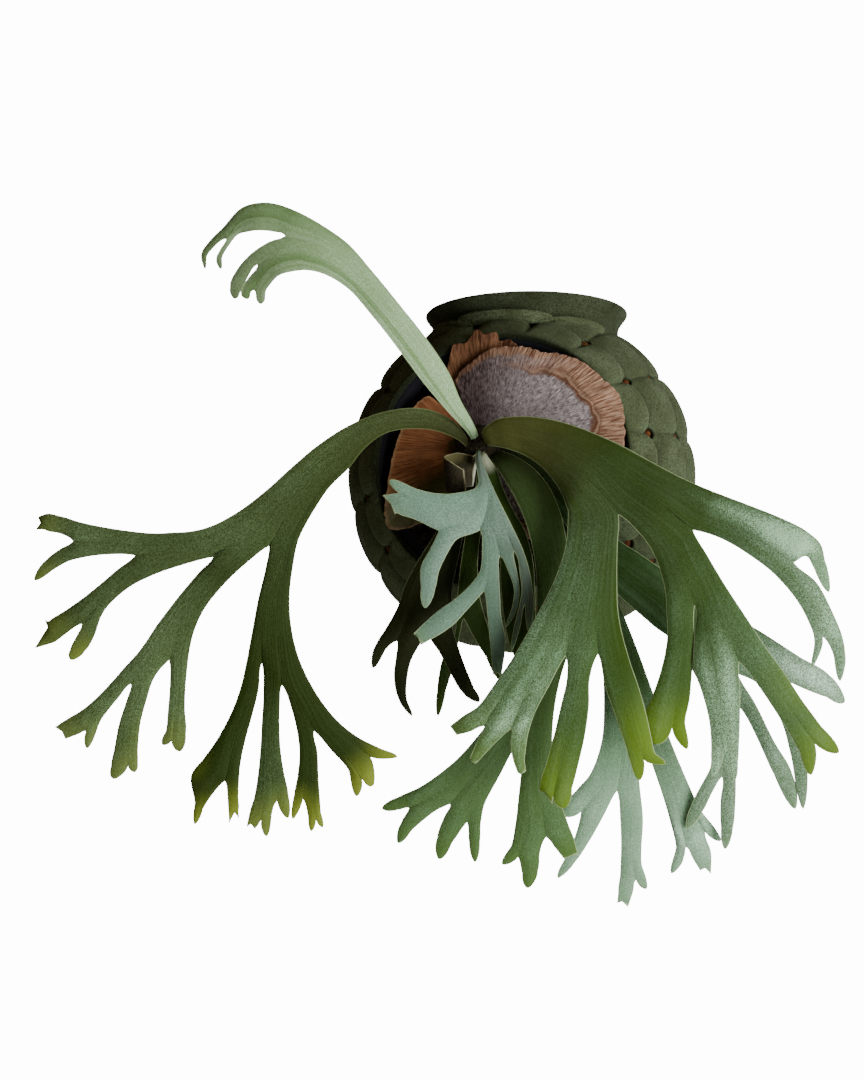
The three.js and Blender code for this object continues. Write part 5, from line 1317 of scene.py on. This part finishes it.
def blade_grid(blade):
    """The middle sheet of a whole frond. Its columns run unbroken from the foot to the tips, and each
    part takes its own columns at a fork, so the crotches are points of the grid."""
    rows, faces, found = [], [], {"crotch": [], "tip": []}
    columns, tones, ribs = [], [], []
    count = 0

    def emit(points, column, tone, rib):
        """Notes a row of points with what they carry, and gives their numbers."""
        nonlocal count
        ids = count + np.arange(len(points))
        count += len(points)
        rows.append(points)
        columns.append(column)
        tones.append(tone)
        ribs.append(rib)
        return ids

    def lay(ids, laid, column, laid_tones, rib):
        """Lays rows on after the row with those numbers, and gives the numbers of the last one."""
        for row, tone in zip(laid, laid_tones):
            following = emit(row, column, tone, rib)
            faces.append(woven(np.vstack([ids, following])))
            ids = following
        return ids

    def grow(part, start, before, start_ids, column, tone, sides):
        """Lays a part from its start row, through its rungs, to its teeth, its tip or its fork, and then
        each part of the fork. `sides` tells whether a crotch lies at its left and at its right."""
        places, rib = places_across(part), rib_across(part)
        mine = tone.copy()
        for place, name in enumerate(("tone", "down")):
            if name in part:
                ends = np.broadcast_to(part[name], 2).astype(float)
                mine[:, place] = ends[0] + (ends[1] - ends[0]) * places
        chain = [bowed(r[:2], r[2:4], places, r[4]) for r in part["rungs"]]
        if start is None:
            start = chain.pop(0)
            before = 2 * start - chain[0]
            start_ids = emit(start, column, tone, rib)
        chain = [before, start] + chain
        if "tip" not in part:
            end = fork_row(part)
            edges = np.cumsum([0] + [len(places_across(p)) - 1 for p in part["parts"]])
            ahead = end.copy()
            for i, p in enumerate(part["parts"]):
                here = slice(edges[i], edges[i + 1] + 1)
                ahead[here] = next_row(p, end[here])
            for crotch in edges[1:-1]:
                near = slice(crotch - 1, crotch + 2)
                ahead[near] = 2 * end[near] - chain[-1][near]
            chain += [end, ahead]
        ids = start_ids
        last = len(chain) - (1 if "tip" in part else 2)
        for i in range(1, last):
            a, b = chain[i], chain[i + 1]
            if i + 2 < len(chain):
                after = chain[i + 2]
            else:
                after = np.repeat(np.array([part["tip"]], float), len(b), 0)
            steps = max(1, round(board_gap(a, b) / ROW_SPACING))
            shares = np.linspace(0, 1, steps + 1)[1:]
            lean = 0.0
            if i == 1 and any(sides):
                shares = np.concatenate([shares[0] * np.array([0.12, 0.4]), shares])
                inward = start[-1] - start[0]
                inward /= max(np.linalg.norm(inward), 1e-6)
                pull = sides[0] * (1 - places) ** 6 - sides[1] * places ** 6
                lean = CROTCH_ROUNDING * pull[:, None] * inward
            laid_tones = [tone + (mine - tone) * ((i - 1 + share) / (last - 1)) for share in shares]
            ids = lay(ids, passage(chain[i - 1], a, b, after, shares, lean), column, laid_tones, rib)
        a, before_last = chain[-1], chain[-2]
        if "teeth" in part:
            goal = np.array([(*part["teeth"][i], part["tip"][2]) for i in (0, 0, 0, 1, 2, 2, 2)])
            toothed = passage(before_last, a, goal, 2 * goal - a, TOOTH_SHARES)
            ids = lay(ids, toothed, column, itertools.repeat(mine), rib)
            left, notch, right = emit(goal[1::2], column[1::2], mine[1::2], rib[1::2])
            ahead = np.array([left, left, left, notch, right, right, right])
            faces.append(np.stack([ids[:-1], ids[1:], ahead[1:], ahead[:-1]], axis=-1))
            found["tip"] += [left, right]
            found["crotch"].append(notch)
            return
        if "tip" in part:
            tip = np.array([part["tip"]], float)
            middle = a.mean(0, keepdims=True)
            spine = passage(before_last.mean(0, keepdims=True), middle, tip, 2 * tip - middle, TIP_SHARES)
            rounded = spine + (a - middle) * ((1 - TIP_SHARES ** 2) ** 0.62)[:, None, None]
            ids = lay(ids, rounded, column, itertools.repeat(mine), rib)
            end = emit(tip, column[3:4], mine[3:4], rib[3:4])
            found["tip"] += end.tolist()
            faces.append(np.stack([ids[:-1], ids[1:], ids[1:] * 0 + end[0], ids[1:] * 0 + end[0]], axis=-1))
            return
        found["crotch"].extend(ids[edges[1:-1]].tolist())
        for i, p in enumerate(part["parts"]):
            here = slice(edges[i], edges[i + 1] + 1)
            beside = (i > 0, i < len(part["parts"]) - 1)
            grow(p, end[here], chain[-3][here], ids[here], column[here], mine[here], beside)

    places = places_across(blade)
    first = np.tile([0.0, blade.get("foot_down", 0.3)], (len(places), 1))
    grow(blade, None, None, None, np.arange(len(places), dtype=float), first, (False, False))
    return rows, np.vstack(faces), np.concatenate(columns), np.vstack(tones), np.concatenate(ribs), found


def finger_share(row):
    """For each column of a row, 0 in a broad blade and 1 in a finger: it grows with the width of the
    column's own strip, measured from one finger line to the next."""
    if len(row) < 7:
        return np.zeros(len(row))
    width = np.linalg.norm(row[6::6] - row[:-1:6], axis=1) * STEP
    mine = np.repeat(smooth(width, 11, 24), 6)
    return np.append(mine, mine[-1])


def frond(name, blade, node, material, wave, seed):
    """A whole frond: its sheet set on the board, waved a little along the margins, and given two skins
    that draw together at the margin. Near the foot it is a stalk, thicker and without waves or ribs."""
    rows, faces, column, tone, rib, found = blade_grid(blade)
    sheet = np.vstack(rows)
    points = on_board(sheet[:, 0], sheet[:, 1], sheet[:, 2])
    edge = np.concatenate([
        np.minimum(np.linalg.norm(r - r[0], axis=1), np.linalg.norm(r - r[-1], axis=1)) * STEP for r in rows
    ])
    for number in found["crotch"]:
        edge = np.minimum(edge, np.linalg.norm(points - points[number], axis=1))
    way = np.linalg.norm(points - points[0], axis=1)
    to_tip = np.min(np.linalg.norm(points[:, None] - points[found["tip"]][None], axis=2), axis=1)
    near_margin = np.exp(-edge / MARGIN_REACH) * smooth(way, 25, 70)
    lift = wave * WAVE_HEIGHT * near_margin * bumps(points, MARGIN_WAVE, seed)
    rib = rib * np.concatenate([finger_share(r) for r in rows])
    lift += RIB_RELIEF * rib * smooth(way, 10, 60)
    points = points + lift[:, None] * FRONT
    half = MARGIN_HALF + (MIDDLE_HALF - MARGIN_HALF) * smooth(edge, 0, 3.2)
    half = half + STALK_HALF * smooth(edge, 0, 3) * (1 - smooth(way, 0, 70))
    skins, solid = leaf_solid(points, faces, half)
    values = {
        "edge": edge, "grow": way / max(way.max(), 1), "to_tip": to_tip, "tone": tone[:, 0],
        "down": tone[:, 1], "rib": rib,
    }
    values = {label: np.tile(numbers, 2) for label, numbers in values.items()}
    values["side"] = np.repeat([1.0, 0.0], len(points))
    uv = np.tile(np.stack([column * COLUMN_WIDTH, way], axis=-1), (2, 1))
    piece(name, skins, solid, material, replaces=[node], values=values, uv=uv)


def line_of(material, share, slope, start, **settings):
    """A share times a slope, plus a start."""
    return add(material, "Math", {0: share, 1: slope, 2: start}, operation="MULTIPLY_ADD", **settings)


def blade_material(name, foot, body, second, tips, down, rim="#B4C898", tip_reach=30, rim_share=0.7,
                   streaks=0.04, ribs=0.9, grooves=0.2, foot_reach=(0.05, 0.35)):
    """Green leaf skin: darker at the foot, another green where the tone says so, yellower at the tips,
    then down of fine pale hairs, thin pale streaks along the ribs, long bare grooves in the second green
    between them and a pale margin. Down lies thicker on the ribs and under the blade, thinner at the tips,
    and its specks are drawn 0.8 mm wide, coarser than hairs are, so that they show."""
    leaf, shader = matt_material(name, 0.5, specular=0.1)
    # Down also stands for a painted highlight where it is above 1, and tone for painted shade.
    edge, grow, tone, down_and_highlight, rib, side, to_tip = carried(
        leaf, "edge", "grow", "tone", "down", "rib", "side", "to_tip")
    thin_down = line_of(leaf, down_and_highlight, -0.6, 0.85, use_clamp=True)
    tip_share = product(leaf, stepped(leaf, to_tip, tip_reach, 0.0), thin_down)
    clouds = grain(leaf, 34, 2, contrast=(0.3, 0.7))
    veins = combed(leaf, 1.5, 70, 2, (0.4, 0.7), 2)
    specks = grain(leaf, 0.8, 3, 0.75, contrast=(0.4, 0.64))
    on_top = product(
        leaf, line_of(leaf, specks, 0.85, 0.15), line_of(leaf, rib, ribs, 1.0 - ribs * 0.4),
        line_of(leaf, tip_share, -0.6, 1.0), line_of(leaf, clouds, 0.4, 0.8), down_and_highlight)
    underneath = product(leaf, line_of(leaf, side, -1.0, 1.0), stepped(leaf, grow, 0.05, 0.4))
    cover = line_of(leaf, underneath, 0.3, line_of(leaf, veins, streaks, on_top), use_clamp=True)
    colour = coats(
        leaf, foot, (stepped(leaf, grow, *foot_reach), body), (tone, second), (tip_share, tips),
        (cover, down), (product(leaf, combed(leaf, 4.2, 260, 1, (0.5, 0.72), 7), grooves), second),
        (product(leaf, stepped(leaf, edge, 0.8, 0.2), rim_share), rim))
    fill(leaf, shader, {"Base Color": colour, "Normal": relief(leaf, (veins, 0.15), (specks, 0.1))})
    return leaf


# Each frond's leaf skin. Every one is the same matt leather under down, and the thickness of the down
# and the age of the blade give each its own look.

# Thick down all over: a chalky grey-green that turns green only towards the long tips.
grey_green = blade_material(
    "pale grey-green blade", "#7A9C66", "#76985F", "#567A3C", "#4A4A24", "#C0E2BC",
    tip_reach=64, streaks=0.12, ribs=0.2, rim_share=0.4, grooves=0.6)

# Thin down over a dark blade: dull sage with bright yellow-green tips.
sage = blade_material(
    "sage blade", "#2C2808", "#353E08", "#223200", "#8A9A34", "#80A274", rim="#7F8F60",
    streaks=0.03, ribs=0.3, rim_share=0.5, tip_reach=34)

# Down that lies along the ribs only: rich green with pale stripes down the fingers.
leaf_green = blade_material(
    "rich green blade", "#6B6C36", "#263402", "#2E4A00", "#67840E", "#A6D2AC",
    streaks=0.03, ribs=1.5, tip_reach=52, grooves=0.35)

# The young down of a small blade: silvery and bluish to its very ends.
silvery = blade_material(
    "silvery blue-green blade", "#84928A", "#527860", "#5E7064", "#6A8C60", "#A4C8B6",
    streaks=0.03, ribs=0.3, tip_reach=14)

# A bare blade that always hangs in the shade: nearly black, with hardly a margin.
shaded = blade_material(
    "dark blade", "#191C04", "#1D2106", "#1D2106", "#222A10", "#38452E", streaks=0.02, rim_share=0.3)

# Thin down: a plain deep green.
back_green = blade_material("green blade behind", "#283A06", "#2C4208", "#2C3F0C", "#3F5A14", "#5F8060")

# The same blade with a downy foot, painted nearly white: its down, and painted light where the foot lies
# in shade beside the bud.
pale_footed = blade_material(
    "green blade with a pale downy foot", "#DDE2CC", "#2C4208", "#2C3F0C", "#3F5A14", "#5F8060",
    foot_reach=(0.05, 0.12))

# Bare above and downy below: dark at the fork and paler along the fingers.
deep_to_pale = blade_material(
    "blade dark above and pale below", "#44582C", "#3A5420", "#3E5A20", "#4A6A20", "#86AC8A")

# Thick down on a bare deep green foot: a pale blue-green that catches the light.
blue_green = blade_material(
    "pale blue-green blade", "#243A0A", "#30500F", "#68906C", "#688C58", "#C4E8D0", tip_reach=16)

for seed, (name, blade, material, slot, wave) in enumerate([
    ("tall", FERTILE_FROND_TALL, grey_green, "pale_blade", 0.5),
    ("left", FERTILE_FROND_LEFT, sage, "green_blade", 0.5),
    ("right", FERTILE_FROND_RIGHT, leaf_green, "green_blade", 0.5),
    ("front", FERTILE_FROND_FRONT, silvery, "pale_blade", 0.3),
    ("lower_left", FERTILE_FROND_LOWER_LEFT, shaded, "dark_blade", 0.5),
    ("green", FERTILE_FROND_GREEN, back_green, "green_blade", 0.3),
    ("narrow", FERTILE_FROND_NARROW, pale_footed, "green_blade", 0.3),
    ("lower_middle", FERTILE_FROND_LOWER_MIDDLE, deep_to_pale, "green_blade", 0.5),
    ("lower_right", FERTILE_FROND_LOWER_RIGHT, blue_green, "green_blade", 0.5),
    ("far_right", FERTILE_FROND_FAR_RIGHT, blue_green, "green_blade", 0.5),
], start=21):
    frond(f"frond_{name}", blade, f"fertile_frond_{name}", material, wave, seed)


# Young frond
# A small new frond beside the bud, still rolled into a scroll that is open at the top. It is thin and
# downy, and it grows out of the bud like the others.
SCROLL_MIDDLE = (458.5, 121.5)  # board step and depth of the scroll's upright axis
SCROLL_REACH = (14.5, 9.0)  # half its width in board steps and half its depth in mm
SCROLL_TURN = (8, 284)  # degrees: where it starts, and how far it rolls
FLAP = 0.3  # the margin in front of the roll, as a share of the rolled width
FLAP_WAY = (-20, 34)  # board steps aside and mm back for the whole rolled width
SCROLL_TOP = ([-FLAP, 0, 0.3, 0.62, 0.8, 1], [452, 456, 452.5, 457, 461, 470])  # board height along it
SCROLL_LOW = ([-FLAP, -0.1, 0, 1], [458, 470, 486, 494])
SCROLL_LEAN = 2.5  # board steps at the foot
SCROLL_HALF = (0.3, 0.6)  # half its thickness at the margin and in the middle
YOUNG_BROWN = "#231F14"
YOUNG_DOWN = "#3E392A"
YOUNG_FRESH = "#5A5836"
YOUNG_INSIDE_PAINTED_LIGHT = "#E2E4CE"
YOUNG_RIM = "#9A9878"
scroll_share = np.concatenate([np.linspace(-FLAP, 0, 6)[:-1], np.linspace(0, 1, 46)])[None, :]
scroll_down = np.linspace(0, 1, 22)[:, None]
scroll_turn = np.radians(SCROLL_TURN[0] + SCROLL_TURN[1] * np.maximum(scroll_share, 0))
scroll_flap = np.minimum(scroll_share, 0)
scroll_top = np.interp(scroll_share, *SCROLL_TOP)
scroll_low = np.interp(scroll_share, *SCROLL_LOW)
scroll_x = SCROLL_MIDDLE[0] + SCROLL_REACH[0] * np.cos(scroll_turn) + FLAP_WAY[0] * scroll_flap
scroll_x = scroll_x + SCROLL_LEAN * scroll_down * smooth(scroll_share, 0.3, 0.7)
scroll_y = scroll_top + (scroll_low - scroll_top) * scroll_down
scroll_depth = SCROLL_MIDDLE[1] - SCROLL_REACH[1] * np.sin(scroll_turn) + FLAP_WAY[1] * scroll_flap
scroll = on_board(scroll_x, scroll_y, scroll_depth + 0 * scroll_y)
scroll_edge = np.minimum(scroll_y - scroll_top, (1 - scroll_share) * 50).ravel() * STEP
scroll_fresh = smooth(scroll_share, 0.08, 0.25) * smooth(scroll_share, 0.72, 0.5)
scroll_fresh = scroll_fresh * smooth(scroll_down, 0.5, 0.1)
# Painted light: low on the inside of the back wall, the scroll is painted whitish where it lies in shade.
scroll_painted_light = smooth(scroll_share, 0.3, 0.05) * smooth(scroll_share, -0.3, -0.1)
scroll_painted_light = scroll_painted_light * smooth(scroll_down, 0.2, 0.5)
scroll_half = SCROLL_HALF[0] + (SCROLL_HALF[1] - SCROLL_HALF[0]) * smooth(scroll_edge, 0, 3)
scroll_skins, scroll_faces = leaf_solid(scroll.reshape(-1, 3), woven(numbered(scroll)), scroll_half)
scroll_values = {"edge": scroll_edge, "fresh": scroll_fresh.ravel(), "painted_light_inside": scroll_painted_light.ravel()}

# A thin blade under brown down: dull and soft, green where the down is thin, and painted whitish on the
# inside of its back wall as painted light, where it lies in shade. The down is drawn 0.9 mm wide, coarser
# than hairs are, so that it shows.
young, young_shader = matt_material("downy young blade", 0.7, specular=0.15)
young_edge, young_fresh, young_painted_light = carried(young, "edge", "fresh", "painted_light_inside")
young_down = grain(young, 0.9, 3, 0.7, contrast=(0.35, 0.7))
young_colour = coats(
    young, YOUNG_BROWN, (young_down, YOUNG_DOWN), (young_fresh, YOUNG_FRESH), (young_painted_light, YOUNG_INSIDE_PAINTED_LIGHT),
    (stepped(young, young_edge, 1.1, 0.3), YOUNG_RIM))
fill(young, young_shader, {"Base Color": young_colour, "Normal": relief(young, (young_down, 0.2))})
piece("young_scroll", scroll_skins, scroll_faces, young, replaces=["young_frond"],
      values={label: np.tile(numbers, 2) for label, numbers in scroll_values.items()})


# Studio
# A pale floor far below the basket, a large soft lamp at the right, a weak one low in front and one
# behind, in a pale room that is bright behind the basket and dim and warm in front of it. The camera
# stands at the eye point of the fern's drawing board.
FLOOR_HEIGHT = -1.9
FLOOR_REACH = 3.2
FLOOR_PALE = (0.9, 0.9, 0.9, 1)
FLOOR_GLOW = 12.0  # seen by the camera only, so that the floor meets the pale room
BACKGROUND = 14.0  # the room's strength as the camera sees it
ROOM_DIM, ROOM_BRIGHT = 0.08, 0.55
ROOM_DIM_COLOUR = "#FFCC90"
ROOM_BACK = (0.5, 0.86, -0.1)  # the way to its bright side
WHITE = "#FFFFFF"
WARM_WHITE = (1.0, 0.99, 0.95)
FILL_WHITE = (1.0, 1.0, 0.97)
PICTURE = (864, 1080)  # width and height of the picture, in board steps
FILM_HEIGHT = 36.0

floor_corners = [(-1, -1), (1, -1), (1, 1), (-1, 1)]
floor_mesh = bpy.data.meshes.new("floor")
floor_mesh.from_pydata(
    [(FLOOR_REACH * x, FLOOR_REACH * y, FLOOR_HEIGHT) for x, y in floor_corners], [], [(0, 1, 2, 3)])
floor = bpy.data.objects.new("floor", floor_mesh)
bpy.context.scene.collection.objects.link(floor)

# Even pale paint, which only throws light back up: no form of its own is seen.
pale_floor, floor_shader = matt_material("pale floor", 0.9)
floor_glow = product(pale_floor, add(pale_floor, "LightPath", output="Is Camera Ray"), FLOOR_GLOW)
fill(pale_floor, floor_shader, {
    "Base Color": FLOOR_PALE, "Emission Color": WHITE, "Emission Strength": floor_glow,
})
floor_mesh.materials.append(pale_floor)


def aimed(place_m, target_m):
    """A turn that points an object's -Z axis from its place to a target."""
    back = np.array(place_m, float) - np.array(target_m, float)
    back /= np.linalg.norm(back)
    side = np.cross((0, 0, 1), back)
    side /= np.linalg.norm(side)
    return np.stack([side, np.cross(back, side), back], axis=1)


def placed(thing, place_m, turn):
    """Puts a new object in the scene, at a place in metres and with a turn."""
    thing.matrix_world = Matrix.Translation(place_m) @ Matrix(turn.tolist()).to_4x4()
    bpy.context.scene.collection.objects.link(thing)


def soft_light(name, place_m, target_m, size, watts, colour):
    """A square lamp of that size in metres, aimed at a target."""
    lamp = bpy.data.lights.new(name, "AREA")
    lamp.shape = "SQUARE"
    lamp.size = size
    lamp.energy = watts
    lamp.color = colour
    placed(bpy.data.objects.new(name, lamp), place_m, aimed(place_m, target_m))


soft_light("key light", (1.8, -1.1, -0.45), (0.0, -0.1, -0.16), 1.2, 62, WARM_WHITE)
soft_light("low fill light", (0.9, -1.5, -1.1), (0.1, -0.15, -0.25), 0.9, 9, FILL_WHITE)
soft_light("back light", (0.1, 2.3, 0.2), (0.0, 0.0, -0.16), 1.8, 38, WARM_WHITE)

# The room's strength goes from dim to bright with the direction, but the camera sees it evenly white.
world = bpy.data.worlds.new("pale room")
world.use_nodes = True
bpy.context.scene.world = world
direction = add(world, "TexCoord", output="Generated")
behind = add(world, "VectorMath", {0: direction, 1: ROOM_BACK}, "Value", operation="DOT_PRODUCT")
bright = stepped(world, behind, -0.4, 0.9)
glow = line_of(world, bright, ROOM_BRIGHT - ROOM_DIM, ROOM_DIM)
seen = add(world, "LightPath", output="Is Camera Ray")
white_share = add(world, "Math", {0: bright, 1: seen}, operation="MAXIMUM")
fill(world, world.node_tree.nodes["Background"], {
    "Color": coats(world, ROOM_DIM_COLOUR, (white_share, WHITE)),
    "Strength": add(world, "Math", {
        0: product(world, seen, BACKGROUND), 1: product(world, glow, line_of(world, seen, -1.0, 1.0)),
    }, operation="ADD"),
})

camera_data = bpy.data.cameras.new("camera")
camera_data.sensor_fit = "VERTICAL"
camera_data.sensor_height = FILM_HEIGHT
camera_data.sensor_width = FILM_HEIGHT * PICTURE[0] / PICTURE[1]
camera_data.lens = FILM_HEIGHT * EYE_DISTANCE / (PICTURE[1] * STEP)
camera_place = GLOBE + FRONT * EYE_DISTANCE - RIGHT * GLOBE_ON_BOARD[0] - UP * GLOBE_ON_BOARD[1]
camera = bpy.data.objects.new("camera", camera_data)
placed(camera, (camera_place / 1000).tolist(), np.stack([RIGHT, UP, FRONT], axis=1))
bpy.context.scene.camera = camera
